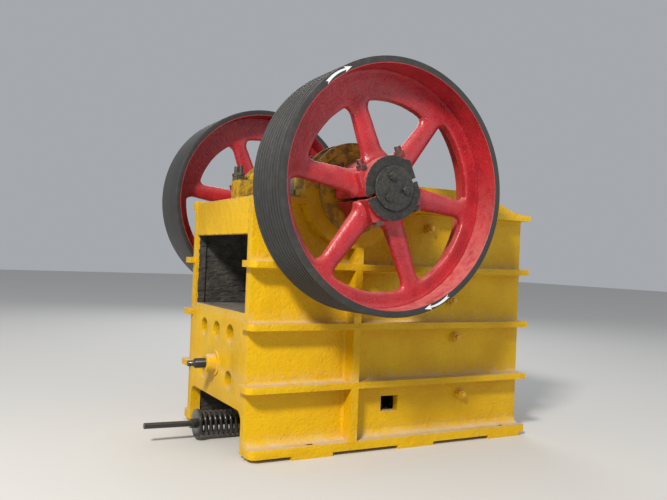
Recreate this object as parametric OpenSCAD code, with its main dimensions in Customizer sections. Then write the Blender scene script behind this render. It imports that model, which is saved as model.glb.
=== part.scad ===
// Single-toggle jaw crusher: a heavy ribbed frame, a swing jaw hung on an eccentric shaft,
// a grooved belt pulley on one end of the shaft and a plain flywheel on the other.
// Millimetres. X runs from the toggle end to the fixed jaw end, Y along the shaft, Z up.
// The origin lies on the floor, in the middle of the four foundation bolt holes. Each piece is
// drawn from the shaft, with X = 0 below its axis, and then moved to that origin.

/* [Frame] */
// Rear face of the frame, measured back from the shaft
frame_rear = 552; // [540:1:580]
// Front face of the frame, measured forward from the shaft
frame_front = 1245; // [1235:1:1290]
// Distance between the outer faces of the side walls
frame_w = 942; // [936:1:960]
// Thickness of a side wall
wall_t = 45; // [40:1:48]
// Height of the frame's top deck above the floor
deck_h = 1341; // [1336:1:1350]
// Top of the side wall between the bearing and the feed mouth
cheek_top_h = 1465; // [1440:1:1480]
// How far the slope at the front end of the side wall reaches back
cheek_slope = 330; // [280:1:360]
// How far the long flanges stand out from the side wall
flange_reach = 86; // [76:1:90]
// Thickness of the long flanges
flange_t = 34; // [28:1:38]
// Thickness of the base flange
base_t = 44; // [38:1:48]
// Spacing of the long flanges above the base flange
flange_pitch = 315; // [310:1:318]
// Length by which the middle flanges run past the rear face
flange_tail = 30; // [20:1:36]
// Thickness of the upright rib on the side wall
rib_t = 44; // [36:1:50]
// Centre of the upright rib, measured forward from the shaft
rib_x = 36; // [20:1:60]
// Radius of the fillets where flanges and walls meet
root_r = 16; // [10:1:20]
// Height of the pads under the base flange
pad_h = 20; // [16:1:24]
// Length of a pad under the base flange
pad_len = 240; // [200:1:260]
// Middle of the rear pads, measured forward from the shaft
pad_rear = -204; // [-214:1:-194]
// Middle of the centre pads, measured forward from the shaft
pad_mid = 445; // [435:1:455]
// Middle of the front pads, measured forward from the shaft
pad_front = 1090; // [1080:1:1100]
// Diameter of a foundation bolt hole
foundation_hole_d = 42; // [36:1:46]

/* [Rear end] */
// Thickness of the rear top beam
rear_beam_t = 60; // [50:1:70]
// Height of the rear top beam, from the deck down to the rear window
rear_beam_h = 198; // [180:1:220]
// Sill of the rear window, the top of the cross beam
window_sill_h = 734; // [720:1:750]
// Underside of the cross beam, the top of the rod opening
beam_foot_h = 233; // [225:1:240]
// Depth of the cross beam from its rear face to its inner face
beam_depth = 297; // [285:1:305]
// Thickness of the cross beam's plates
beam_plate_t = 40; // [34:1:44]
// Width of the jamb beside the rear openings
jamb_w = 13; // [10:1:16]
// Diameter of a cored hole in the cross beam
core_hole_d = 106; // [96:1:112]
// Distance from the middle to the outer cored holes
core_hole_y = 211; // [200:1:220]
// Height of the upper row of cored holes
core_upper_h = 608; // [600:1:616]
// Height of the lower row of cored holes
core_lower_h = 359; // [350:1:366]

/* [Toggle gear] */
// Height of the adjusting screw
screw_h = 426; // [420:1:440]
// Diameter of the adjusting screw
screw_d = 56; // [50:1:60]
// Diameter of the screw's turned end
screw_tip_d = 32; // [28:1:36]
// How far the screw stands out behind the frame
screw_out = 159; // [140:1:165]
// Length of the boss that carries the screw
screw_boss_len = 61; // [50:1:70]
// Thickness of the adjusting block in front of the cross beam
block_t = 88; // [80:1:96]
// Height of the adjusting block
block_h = 192; // [180:1:204]
// Thickness of a toggle seat
seat_t = 32; // [28:1:36]
// Thickness of the toggle plate
toggle_t = 52; // [46:1:58]
// Width of the toggle plate
toggle_w = 560; // [500:1:600]
// Distance along the jaw from its toe up to the toggle seat
toggle_seat_up = 514; // [500:1:530]

/* [Tension rod] */
// Diameter of the tension rod
rod_d = 32; // [28:1:36]
// Height of the rod at the spring's end washer
rod_h = 93; // [90:1:98]
// Downward slope of the rod towards the jaw, in degrees
rod_slope = 1.2; // [1:0.1:1.3]
// How far the rod stands out behind the frame
rod_out = 385; // [360:1:400]
// Distance from the frame's rear face back to the spring's end washer
washer_out = 91; // [80:1:100]
// Diameter of the spring's end washer
washer_d = 156; // [150:1:160]
// Thickness of the spring's end washer
washer_t = 16; // [12:1:20]
// Outer diameter of the spring
spring_d = 138; // [130:1:142]
// Diameter of the spring's wire
spring_wire = 20; // [18:1:22]
// Number of turns of the spring
spring_turns = 10; // [9:1:11]
// Length of the spring
spring_len = 300; // [290:1:310]

/* [Jaws] */
// Inner face of the front wall, measured forward from the shaft
front_wall_x = 1045; // [1035:1:1055]
// Thickness of the front wall between its ribs
front_wall_t = 60; // [50:1:70]
// Thickness of a jaw plate at its tooth tips
jaw_plate_t = 66; // [60:1:72]
// Depth of the teeth on the jaw plates
tooth_depth = 26; // [20:1:30]
// Number of teeth on a jaw plate
tooth_count = 9; // [7:1:10]
// Gap on each side of the moving jaw plate, to the cheek plates
jaw_side_gap = 19; // [14:1:34]
// Width of the feed mouth from jaw to jaw
gape = 500; // [480:1:515]
// Width of the discharge slot from jaw to jaw
discharge = 90; // [80:1:100]
// Height of the jaw plates' top edge
mouth_h = 1300; // [1290:1:1310]
// Height of the moving jaw plate's toe
toe_h = 100; // [96:1:110]
// Radius of the swing jaw's head
head_r = 230; // [220:1:240]
// Gap between the swing jaw's head and the bearing covers
jaw_head_gap = 37; // [27:1:47]
// Thickness of the wedge bar that clamps the moving jaw plate
wedge_t = 52; // [46:1:58]
// Height of the wedge bar
wedge_h = 60; // [54:1:66]
// Thickness of a cheek plate
cheek_t = 32; // [28:1:34]

/* [Shaft] */
// Height of the shaft above the floor
shaft_h = 1390; // [1386:1:1400]
// Throw of the eccentric
throw = 12; // [10:1:13]
// Diameter of the shaft in the main bearings
journal_d = 150; // [140:1:160]
// Diameter of the eccentric part
eccentric_d = 196; // [188:1:204]
// Diameter of the shaft in the wheels
wheel_seat_d = 140; // [130:1:146]
// Outer radius of the main bearing
bearing_r = 200; // [190:1:210]
// Width of the main bearing seat
bearing_w = 140; // [130:1:146]
// Outer radius of the bearing cap
cap_r = 265; // [258:1:272]
// Half length of the bearing cap over its bolting ears
cap_half = 298; // [296:1:302]
// Height of the cap's ears above the shaft's axis
ear_h = 120; // [110:1:130]
// Distance from the shaft's axis to the cap studs
stud_x = 268; // [266:1:272]
// Height of the cap studs above the ears
stud_out = 92; // [80:1:100]
// Diameter of the cap studs
stud_d = 30; // [27:1:33]

/* [Wheels] */
// Radius of the belt pulley and of the flywheel
wheel_r = 630; // [620:1:640]
// Width of the rims
rim_w = 321; // [312:1:330]
// Distance from the middle of the machine to the outer face of a rim
wheel_out = 964; // [955:1:972]
// Thickness of the rim at its edges
rim_t = 35; // [30:1:40]
// Height of the web ring inside the rim that the spokes run into
web_h = 79; // [72:1:86]
// Thickness of the web ring
web_t = 50; // [44:1:56]
// Height of the counterweight cast inside the web ring
weight_h = 71; // [60:1:78]
// How far round the wheel the counterweight reaches, in degrees
weight_turn = 134; // [126:1:140]
// Size of the chamfers between the rim and its web ring
web_chamfer = 18; // [12:1:24]
// Number of belt grooves
groove_count = 9; // [7:1:9]
// Spacing of the belt grooves
groove_pitch = 32; // [30:0.5:34]
// Depth of a belt groove
groove_depth = 19; // [15:1:21]
// Number of spokes
spoke_count = 6; // [5:1:6]
// Width of a spoke at the hub
spoke_root_w = 122; // [110:1:130]
// Width of a spoke at the rim
spoke_tip_w = 92; // [84:1:100]
// Thickness of a spoke along the shaft
spoke_t = 76; // [66:1:84]
// Angle of the first spoke, in degrees
spoke_angle = -8; // [-20:1:20]
// Radius of the hub
hub_r = 161; // [155:1:166]
// Distance from the rim's outer face in to the hub's face
hub_inset = 54; // [48:1:60]
// Length of the hub
hub_len = 300; // [290:1:304]
// Width of the slots that split the hub
slot_w = 16; // [12:1:18]
// Distance from the shaft's axis to a clamp bolt
clamp_x = 116; // [112:1:120]
// Half height of the clamp lugs
clamp_half = 131; // [128:1:134]
// Diameter of a clamp bolt
clamp_bolt_d = 36; // [30:1:38]
// Radius of the hub's end cap
hub_cap_r = 110; // [104:1:114]
// Thickness of the hub's end cap
hub_cap_t = 12; // [10:1:16]

/* [Hidden] */

YELLOW = "#d9a404";
RED = "#c42a37";
DARK = "#3a3b3c";
STEEL = "#77756f";
BLACK = "#1c1c1d";
$fn = 64;

// Clearances: a running fit, two faces that only lie near each other
fit_gap = 0.05;
face_gap = 0.3;
bolt_gap = 1;
// Side play of what lies between the cheek plates
side_play = 4;
// Round seat cut flat for each clamp bolt's nut and head
clamp_face_r = 31;

wall_out = frame_w / 2;
wall_in = wall_out - wall_t;
window_top_h = deck_h - rear_beam_h;
flange_out = wall_out + flange_reach;
base_top = pad_h + base_t;
datum_x = (pad_rear + pad_front) / 2;
seat_in = wall_out - bearing_w / 2;
seat_out = wall_out + bearing_w / 2;
seat_r = cap_half;
cover_t = 14;
journal_r = journal_d / 2;
eccentric_r = eccentric_d / 2;
wheel_seat_r = wheel_seat_d / 2;
ecc_h = shaft_h - throw;

// Jaw geometry: the moving plate's tooth tips run from the toe up to the feed mouth
fixed_face_x = front_wall_x - jaw_plate_t;
toe_x = fixed_face_x - discharge;
nip = atan((gape - discharge) / (mouth_h - toe_h));
jaw_len = (mouth_h - toe_h) / cos(nip);
function on_face(n, u) = [toe_x + n * cos(nip) - u * sin(nip), toe_h + n * sin(nip) + u * cos(nip)];
cheek_in = wall_in - cheek_t;
jaw_plate_w = 2 * (cheek_in - jaw_side_gap);
jaw_w = 2 * (seat_in - cover_t - jaw_head_gap);
seat_depth = jaw_plate_t + 172;
beam_in_x = beam_depth - frame_rear;
block_x = beam_in_x + block_t;
rear_seat_x = block_x + seat_t;
front_seat = on_face(-seat_depth - seat_t, toggle_seat_up);
toggle_gap = throw + 8;

washer_x = -frame_rear - washer_out;
rod_pin_x = 680;
function rod_z(x) = rod_h - (x - washer_x) * tan(rod_slope);

hub_out = wheel_out - hub_inset;
hub_in = hub_out - hub_len;
rim_mid = wheel_out - rim_w / 2;
rim_in = wheel_r - rim_t;
web_r = rim_in - web_h;

// Moves a piece drawn from the shaft to the origin between the foundation bolts
module from_datum() {
  translate([-datum_x, 0, 0]) children();
}

// Lays a profile drawn in X and Z along Y, from y0 to y1
module lay(y0, y1) {
  translate([0, y1, 0]) rotate([90, 0, 0]) linear_extrude(y1 - y0) children();
}

// A round bar along Y
module bar_y(r, y0, y1) {
  translate([0, y1, 0]) rotate([90, 0, 0]) cylinder(r = r, h = y1 - y0);
}

// Puts a piece drawn for the far side on the near side
module near_side() {
  mirror([0, 1, 0]) children();
}

// Hexagon prism of the given width across flats, standing on the floor plane
module hex(flats, h) {
  cylinder(r = flats / sqrt(3), h = h, $fn = 6);
}

// Concave fillet along X in the corner of a level face and the side wall
module root_fillet(x0, x1, z, up) {
  translate([x0, wall_out - 1, z - up])
    rotate([90, 0, 90])
      linear_extrude(x1 - x0)
        mirror([0, up > 0 ? 0 : 1])
          difference() {
            square([root_r + 1, root_r + 1]);
            translate([root_r + 1, root_r + 1]) circle(r = root_r);
          }
}

// Side wall: one plate with the bearing seat, long flanges, an upright rib and a base
module side_profile() {
  polygon([
    [-frame_rear, pad_h], [frame_front, pad_h], [frame_front, deck_h],
    [frame_front - cheek_slope, cheek_top_h], [cap_half + 2, cheek_top_h], [cap_half + 2, shaft_h],
    [-cap_half, shaft_h], [-cap_half, deck_h], [-frame_rear, deck_h]
  ]);
}

module flange(x0, x1, top, t) {
  corner = 40;
  translate([0, 0, top - t])
    linear_extrude(t)
      union() {
        translate([x0 + corner, wall_in]) square([x1 - x0 - corner, flange_out - wall_in]);
        translate([x0, wall_in]) square([corner + 1, flange_out - wall_in - corner]);
        translate([x0 + corner, flange_out - corner]) circle(r = corner);
      }
  root_fillet(max(x0, -frame_rear), x1, top, 1);
  root_fillet(max(x0, -frame_rear), x1, top - t, -1);
}

module side_wall() {
  difference() {
    union() {
      lay(wall_in, wall_out) side_profile();
      lay(seat_in, seat_out)
        difference() {
          translate([0, shaft_h]) circle(r = seat_r);
          translate([-seat_r - 1, shaft_h]) square([2 * seat_r + 2, seat_r + 2]);
        }
      for (i = [1 : 3]) flange(-frame_rear - flange_tail, frame_front, base_top + i * flange_pitch, flange_t);
      flange(-frame_rear, frame_front, base_top, base_t);
      difference() {
        flange(-frame_rear, frame_front, deck_h, flange_t);
        translate([-seat_r + 2, wall_out + 0.5, deck_h - 2 * flange_t])
          cube([2 * seat_r - 4, flange_reach + 1, 3 * flange_t]);
        translate([-cap_half, wall_in - 1, shaft_h])
          cube([2 * cap_half, wall_t + flange_reach + 2, deck_h]);
      }
      translate([rib_x - rib_t / 2, wall_in, base_top - 1])
        cube([rib_t, flange_out - wall_in, shaft_h - seat_r - base_top + 8]);
      translate([-frame_rear, wall_in - jamb_w, pad_h])
        cube([rear_beam_t, jamb_w + 1, deck_h - pad_h]);
      for (x = [pad_rear, pad_mid, pad_front])
        translate([x - pad_len / 2, wall_in, 0]) cube([pad_len, flange_out - wall_in, pad_h + 1]);
    }
    translate([0, 0, shaft_h]) bar_y(bearing_r, seat_in - 1, seat_out + 1);
    translate([256, wall_in - 1, 194]) cube([112, wall_t + 2, 85]);
    for (x = [pad_rear, pad_front])
      translate([x, wall_out + flange_reach / 2, -1])
        cylinder(d = foundation_hole_d, h = base_top + 2);
    cheek_bolt_places() rotate([90, 0, 0]) translate([0, 0, -wall_out - 1]) cylinder(d = 34, h = wall_t + 2);
  }
}

module near_side_wall() { color(YELLOW) from_datum() near_side() side_wall(); }
module far_side_wall() { color(YELLOW) from_datum() side_wall(); }

// Front wall between the side walls, ribbed on its outer side
module front_wall() {
  color(YELLOW) from_datum() {
    translate([front_wall_x, -wall_in, base_top])
      cube([front_wall_t, 2 * wall_in, deck_h - base_top]);
    for (i = [1 : 3])
      translate([front_wall_x + 1, -wall_in, base_top + i * flange_pitch - flange_t])
        cube([frame_front - front_wall_x - 1, 2 * wall_in, flange_t]);
    translate([front_wall_x + 1, -wall_in, deck_h - flange_t])
      cube([frame_front - front_wall_x - 1, 2 * wall_in, flange_t]);
    translate([front_wall_x - 48, -wall_in, pad_h])
      cube([frame_front - front_wall_x + 48, 2 * wall_in, base_t]);
    for (y = [-150, 150])
      translate([front_wall_x + 1, y - rib_t / 2, base_top - 1])
        cube([frame_front - front_wall_x - 21, rib_t, deck_h - base_top - 10]);
  }
}

// Upper beam of the rear wall
module rear_top_beam() {
  color(YELLOW) from_datum() {
    translate([-frame_rear, jamb_w - wall_in, window_top_h])
      cube([rear_beam_t, 2 * (wall_in - jamb_w), deck_h - window_top_h]);
    translate([-frame_rear + 1, -wall_in, deck_h - flange_t])
      translate([rear_beam_t - 1, 0, 0]) cube([90, 2 * wall_in, flange_t]);
  }
}

// Boxed cross beam that takes the toggle's thrust, with cored holes and the screw boss
module rear_cross_beam() {
  inner = wall_in - jamb_w;
  corner = 60;
  color(YELLOW) from_datum()
    difference() {
      union() {
        difference() {
          translate([-frame_rear, -inner, beam_foot_h])
            cube([beam_depth, 2 * inner, window_sill_h - beam_foot_h]);
          translate([-frame_rear + beam_plate_t, -inner - 1, beam_foot_h + beam_plate_t])
            cube([beam_depth - 2 * beam_plate_t, 2 * inner + 2, window_sill_h - beam_foot_h - 2 * beam_plate_t]);
        }
        for (s = [-1, 1])
          translate([-frame_rear, s * inner, beam_foot_h])
            mirror([0, s > 0 ? 1 : 0, 0])
              rotate([90, 0, 90])
                linear_extrude(rear_beam_t)
                  mirror([0, 1])
                    difference() {
                      translate([0, -1]) square([corner, corner + 1]);
                      translate([corner, corner]) circle(r = corner);
                    }
        translate([-frame_rear - screw_boss_len, 0, screw_h])
          rotate([0, 90, 0]) cylinder(r = 50, h = screw_boss_len + beam_depth);
        translate([-frame_rear - 8, 0, screw_h])
          rotate([0, 90, 0]) cylinder(r = 70, h = 9);
      }
      for (y = [-core_hole_y, 0, core_hole_y])
        translate([-frame_rear - 1, y, core_upper_h])
          rotate([0, 90, 0]) cylinder(d = core_hole_d, h = beam_plate_t + 2);
      for (y = [-core_hole_y, core_hole_y])
        translate([-frame_rear - 1, y, core_lower_h])
          rotate([0, 90, 0]) cylinder(d = core_hole_d, h = beam_plate_t + 2);
      translate([-frame_rear - screw_boss_len - 1, 0, screw_h])
        rotate([0, 90, 0]) cylinder(r = screw_d / 2 + fit_gap, h = screw_boss_len + beam_depth + 2);
    }
}

// Forked bracket under the cross beam: the spring pushes against it and the rod lies in its slot
spring_seat_x = washer_x + washer_t / 2 + spring_len + toggle_gap;
module spring_seat() {
  plate_t = 24;
  half_w = 110;
  foot = 24;
  slot_half = rod_d / 2 + throw + 12;
  slot_top = rod_z(spring_seat_x) + throw + slot_half;
  color(YELLOW) from_datum() {
    for (s = [0, 1]) mirror([0, s, 0]) {
      translate([spring_seat_x, slot_half, foot]) cube([plate_t, half_w - slot_half, beam_foot_h - foot]);
      translate([spring_seat_x + plate_t - 1, half_w - 20, 60])
        cube([beam_in_x - spring_seat_x - plate_t + 1, 20, beam_foot_h - 60]);
    }
    translate([spring_seat_x, -slot_half - 1, slot_top])
      cube([plate_t, 2 * slot_half + 2, beam_foot_h - slot_top]);
  }
}

// Main bearings in their seats, a ring on each side
module main_bearings() {
  color(STEEL) from_datum()
    for (s = [0, 1]) mirror([0, s, 0])
      difference() {
        translate([0, 0, shaft_h]) bar_y(bearing_r - face_gap, seat_in + 6, seat_out - 6);
        translate([0, 0, shaft_h]) bar_y(journal_r + fit_gap, seat_in, seat_out);
      }
}

// Bearing cap: the upper half of the housing with two bolting ears
module bearing_cap() {
  rim = 22;
  difference() {
    union() {
      lay(seat_in + 5, seat_out - 5)
        intersection() {
          union() {
            translate([0, shaft_h]) circle(r = cap_r - 14);
            translate([-cap_half, shaft_h]) square([2 * cap_half, ear_h]);
          }
          translate([-cap_half, shaft_h + face_gap]) square([2 * cap_half, cap_r + 1]);
        }
      for (y = [seat_in + 5, seat_out - 5 - rim])
        lay(y, y + rim)
          intersection() {
            translate([0, shaft_h]) circle(r = cap_r);
            translate([-cap_r, shaft_h + face_gap]) square([2 * cap_r, cap_r]);
          }
    }
    translate([0, 0, shaft_h]) bar_y(bearing_r, seat_in - 1, seat_out + 1);
    stud_places() translate([0, 0, shaft_h - 1]) cylinder(r = stud_d / 2 + fit_gap, h = ear_h + 2);
  }
}

module stud_places() {
  for (x = [-stud_x - 10, stud_x + 10])
    for (y = [wall_out - 40, wall_out + 40])
      translate([x, y, 0]) children();
}

module near_bearing_cap() { color(YELLOW) from_datum() near_side() bearing_cap(); }
module far_bearing_cap() { color(YELLOW) from_datum() bearing_cap(); }

// Studs and nuts that hold the caps down
module cap_studs() {
  color(DARK) from_datum()
    for (s = [0, 1]) mirror([0, s, 0])
      stud_places() {
        translate([0, 0, shaft_h + 2]) cylinder(d = stud_d, h = ear_h + stud_out - 2);
        translate([0, 0, shaft_h + ear_h]) hex(46, 24);
        translate([0, 0, shaft_h + ear_h + 26]) hex(46, 20);
      }
}

// Cover rings on both faces of each main bearing
module bearing_covers() {
  color(STEEL) from_datum()
    for (s = [0, 1]) mirror([0, s, 0])
      for (y = [seat_in - cover_t, seat_out])
        difference() {
          translate([0, 0, shaft_h]) bar_y(bearing_r + 18, y, y + cover_t);
          translate([0, 0, shaft_h]) bar_y(journal_r + 3, y - 1, y + cover_t + 1);
        }
}

// Toothed plate drawn flat in X and Y with its tips towards -X, standing up Z
module toothed_plate(w, t, len) {
  pitch = w / tooth_count;
  crest = pitch * 0.16;
  linear_extrude(len)
    polygon(concat(
      [[0, w / 2], [0, -w / 2]],
      [for (i = [0 : tooth_count - 1]) each [
        [tooth_depth - t, -w / 2 + i * pitch + (i == 0 ? 0 : crest / 2)],
        [-t, -w / 2 + (i + 0.5) * pitch - crest / 2],
        [-t, -w / 2 + (i + 0.5) * pitch + crest / 2]
      ]],
      [[tooth_depth - t, w / 2]]
    ));
}

module fixed_jaw_plate() {
  color(STEEL) from_datum()
    translate([front_wall_x, 0, base_top]) toothed_plate(2 * (cheek_in - side_play), jaw_plate_t, mouth_h - base_top);
}

// Cheek plates that line the side walls between the jaws, upper and lower
module cheek_profile(u0, u1) {
  polygon([
    [front_wall_x, toe_h + u0], on_face(-jaw_plate_t - 40, u0 / cos(nip)),
    on_face(-jaw_plate_t - 40, u1 / cos(nip)), [front_wall_x, toe_h + u1]
  ]);
}

module cheek_plates() {
  split = 600;
  color(STEEL) from_datum()
    for (s = [0, 1]) mirror([0, s, 0])
      difference() {
        union() {
          lay(cheek_in, wall_in) cheek_profile(0, split - 2);
          lay(cheek_in, wall_in) cheek_profile(split + 2, mouth_h - toe_h);
        }
        cheek_bolt_places() rotate([90, 0, 0]) translate([0, 0, -wall_in - 1]) cylinder(d = 30, h = cheek_t + 2);
      }
}

module cheek_bolt_places() {
  for (p = [[753, 599], [808, 262], [540, 1228], [721, 817]])
    translate([p[0], 0, p[1]]) children();
}

// Bolts through the cheek plates, with washers and nuts outside the wall
module cheek_bolts() {
  color(YELLOW) from_datum()
    for (s = [0, 1]) mirror([0, s, 0])
      cheek_bolt_places()
        rotate([-90, 0, 0]) {
          translate([0, 0, cheek_in + 6]) cylinder(d = 30 - 2 * fit_gap, h = cheek_t + wall_t + 40);
          translate([0, 0, wall_out]) cylinder(d = 62, h = 6);
          translate([0, 0, wall_out + 5]) hex(46, 24);
        }
}

// Block in front of the cross beam that the screw pushes forward to set the discharge
module adjusting_block() {
  color(STEEL) from_datum()
    translate([beam_in_x, side_play - cheek_in, screw_h - block_h / 2])
      cube([block_t, 2 * (cheek_in - side_play), block_h]);
}

module adjusting_screw() {
  color(BLACK) from_datum()
    translate([0, 0, screw_h]) rotate([0, 90, 0]) {
      translate([0, 0, -frame_rear - screw_out + 34])
        cylinder(d = screw_d, h = screw_out - 34 + beam_depth);
      translate([0, 0, -frame_rear - screw_out]) cylinder(d = screw_tip_d, h = 36);
    }
}

module rear_toggle_seat() {
  color(STEEL) from_datum()
    difference() {
      translate([block_x, -toggle_w / 2 - 10, screw_h - 60]) cube([seat_t, toggle_w + 20, 120]);
      translate([rear_seat_x + toggle_t / 2 - 14, 0, screw_h])
        bar_y(toggle_t / 2 + face_gap, -toggle_w / 2 - 11, toggle_w / 2 + 11);
    }
}

// Toggle plate with rounded ends, from the rear seat to just short of the jaw's seat
toggle_rear = [rear_seat_x + toggle_t / 2 - 14, screw_h];
toggle_front = [front_seat[0] - toggle_t / 2 - toggle_gap, front_seat[1]];
module toggle_plate() {
  run = toggle_front - toggle_rear;
  tilt = atan2(run[1], run[0]);
  color(STEEL) from_datum()
    lay(-toggle_w / 2, toggle_w / 2) {
      translate(toggle_rear) circle(d = toggle_t);
      translate(toggle_front) circle(d = toggle_t);
      translate(toggle_rear) rotate(tilt) translate([0, -toggle_t / 2 + 4]) square([norm(run), toggle_t - 8]);
    }
}

// Eccentric shaft, drawn with its throw straight down
module eccentric_shaft() {
  color(STEEL) from_datum() {
    translate([0, 0, shaft_h]) bar_y(journal_r, -hub_in + 2, hub_in - 2);
    translate([0, 0, shaft_h]) bar_y(wheel_seat_r, -hub_out + 4, hub_out - 4);
    translate([0, 0, ecc_h]) bar_y(eccentric_r, -jaw_w / 2 - 6, jaw_w / 2 + 6);
  }
}

// Rim section, drawn with the shaft's axis as its Y axis and the outer face on top
module rim_section(grooves) {
  gw = groove_pitch * 0.38;
  first = -(groove_count - 1) * groove_pitch / 2;
  polygon(concat(
    [[rim_in, -rim_w / 2], [wheel_r - 3, -rim_w / 2], [wheel_r, -rim_w / 2 + 3]],
    [for (i = [0 : groove_count - 1]) if (grooves) each [
      [wheel_r, first + i * groove_pitch - gw],
      [wheel_r - groove_depth, first + i * groove_pitch - gw * 0.45],
      [wheel_r - groove_depth, first + i * groove_pitch + gw * 0.45],
      [wheel_r, first + i * groove_pitch + gw]
    ]],
    [[wheel_r, rim_w / 2 - 3], [wheel_r - 3, rim_w / 2], [rim_in, rim_w / 2]]
  ));
}

// Section of the web ring, chamfered on each side where it meets the rim
module web_section() {
  half = web_t / 2;
  polygon([
    [web_r, -half], [web_r, half], [rim_in - web_chamfer, half],
    [rim_in - web_chamfer * 0.3, half + web_chamfer * 0.3], [rim_in, half + web_chamfer],
    [rim_in + 1, half + web_chamfer], [rim_in + 1, -half - web_chamfer], [rim_in, -half - web_chamfer],
    [rim_in - web_chamfer * 0.3, -half - web_chamfer * 0.3], [rim_in - web_chamfer, -half]
  ]);
}

// Stands a wheel piece, drawn about Z with its outer face up, on the shaft at the given Y
module on_shaft(y) {
  translate([0, y, shaft_h]) rotate([-90, 0, 0]) children();
}

// Rim with its web ring, and a counterweight inside that from the second to the fourth spoke
module rim(y, grooves) {
  on_shaft(y) {
    rotate_extrude($fn = 128) {
      rim_section(grooves);
      web_section();
    }
    rotate(-spoke_angle - 120 - weight_turn / 2)
      rotate_extrude(angle = weight_turn, $fn = 128)
        translate([web_r - weight_h, -web_t / 2]) square([weight_h - face_gap, web_t]);
  }
}

// One tapered oval spoke along X, from inside the hub into the web ring
module spoke() {
  x0 = hub_r - 30;
  x1 = web_r + 12;
  hull() {
    translate([x0, 0, 0]) rotate([0, 90, 0]) scale([spoke_t / spoke_root_w, 1, 1])
      cylinder(d = spoke_root_w, h = 1, $fn = 32);
    translate([x1 - 1, 0, 0]) rotate([0, 90, 0]) scale([spoke_t / spoke_root_w, 1, 1])
      cylinder(d = spoke_tip_w, h = 1, $fn = 32);
  }
}

// Ring that cuts the spokes' ends, just clear of the web ring or the counterweight
module end_ring(r, turn) {
  rotate_extrude(angle = turn, $fn = 128) translate([r, -spoke_t]) square([100, 2 * spoke_t]);
}

// Hub with its spokes, split by two slots and clamped on the shaft
module wheel_centre() {
  slot_angle = -spoke_angle - 30;
  difference() {
    union() {
      on_shaft(hub_in) cylinder(r = hub_r, h = hub_len);
      on_shaft(rim_mid)
        for (i = [0 : spoke_count - 1]) rotate(-spoke_angle - i * 360 / spoke_count) spoke();
      on_shaft(hub_in) rotate(slot_angle)
        for (s = [-1, 1])
          translate([s * clamp_x - 38, -clamp_half, 24]) cube([76, 2 * clamp_half, hub_len - 48]);
    }
    on_shaft(rim_mid) {
      end_ring(web_r - face_gap, 360);
      rotate(-spoke_angle - 120 - weight_turn / 2) end_ring(web_r - weight_h - face_gap, weight_turn);
    }
    on_shaft(hub_in) translate([0, 0, -1]) cylinder(r = wheel_seat_r + fit_gap, h = hub_len + 2);
    on_shaft(hub_in) rotate(slot_angle)
      for (s = [-1, 1])
        translate([s > 0 ? wheel_seat_r - 10 : -hub_r - 20, -slot_w / 2, -1])
          cube([hub_r + 30 - wheel_seat_r, slot_w, hub_len + 2]);
    clamp_places() {
      translate([0, 0, -clamp_half - 2]) cylinder(r = clamp_bolt_d / 2 + bolt_gap, h = 2 * clamp_half + 4);
      for (end = [0, 1]) mirror([0, 0, end]) translate([0, 0, clamp_half]) cylinder(r = clamp_face_r, h = 60);
    }
  }
}

// Clamp bolts stand across the slots in two rows
module clamp_places() {
  slot_angle = -spoke_angle - 30;
  for (row = [70, hub_len - 43])
    for (s = [-1, 1])
      on_shaft(hub_in + row) rotate(slot_angle) translate([s * clamp_x, 0, 0]) rotate([90, 0, 0]) children();
}

module pulley_rim() { color(DARK) from_datum() rim(-rim_mid, true); }
module flywheel_rim() { color(DARK) from_datum() rim(rim_mid, false); }
module pulley_spokes() { color(RED) from_datum() near_side() wheel_centre(); }
module flywheel_spokes() { color(RED) from_datum() wheel_centre(); }

module hub_clamp_bolts() {
  color(STEEL) from_datum()
    for (side = [0, 1]) mirror([0, side, 0])
      clamp_places() {
        translate([0, 0, -clamp_half - 20]) cylinder(d = clamp_bolt_d, h = 2 * clamp_half + 44);
        translate([0, 0, -clamp_half - 24]) hex(50, 24);
        translate([0, 0, clamp_half]) hex(50, 28);
      }
}

module hub_end_caps() {
  color(DARK) from_datum()
    for (side = [0, 1]) mirror([0, side, 0])
      on_shaft(hub_out) cylinder(r = hub_cap_r, h = hub_cap_t);
}

module hub_cap_bolts() {
  color(DARK) from_datum()
    for (side = [0, 1]) mirror([0, side, 0])
      for (i = [0 : 2])
        on_shaft(hub_out + hub_cap_t) rotate(7 + i * 120) translate([62, 0, 0]) hex(36, 16);
}

// Swing jaw: a cast head bored for the eccentric, a tapering body and a lug for the rod
module jaw_profile() {
  translate([0, ecc_h]) circle(r = head_r);
  polygon([
    on_face(-jaw_plate_t, -20), on_face(-jaw_plate_t, jaw_len + 110),
    [head_r * cos(50), ecc_h + head_r * sin(50)], [0, ecc_h],
    [-head_r * cos(25), ecc_h - head_r * sin(25)], [head_r * -0.45, ecc_h - head_r * 0.88],
    on_face(-seat_depth - 30, toggle_seat_up + 240), on_face(-seat_depth, toggle_seat_up + 70),
    on_face(-seat_depth, toggle_seat_up - 70), on_face(-jaw_plate_t - 120, 250),
    on_face(-jaw_plate_t - 90, 10)
  ]);
}

module swing_jaw() {
  lug_r = 36;
  color(YELLOW) from_datum()
    difference() {
      union() {
        lay(-jaw_w / 2, jaw_w / 2) jaw_profile();
        for (y = [-60, 30])
          lay(y, y + 30) {
            translate([rod_pin_x, rod_z(rod_pin_x)]) circle(r = lug_r);
            polygon([
              [rod_pin_x, rod_z(rod_pin_x) - lug_r], on_face(-jaw_plate_t - 60, 30),
              on_face(-jaw_plate_t - 60, 170), [rod_pin_x - 20, rod_z(rod_pin_x) + lug_r - 8]
            ]);
          }
      }
      translate([0, 0, ecc_h]) bar_y(eccentric_r + fit_gap, -jaw_w, jaw_w);
      translate([rod_pin_x, 0, rod_z(rod_pin_x)]) bar_y(18 + fit_gap, -100, 100);
    }
}

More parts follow.
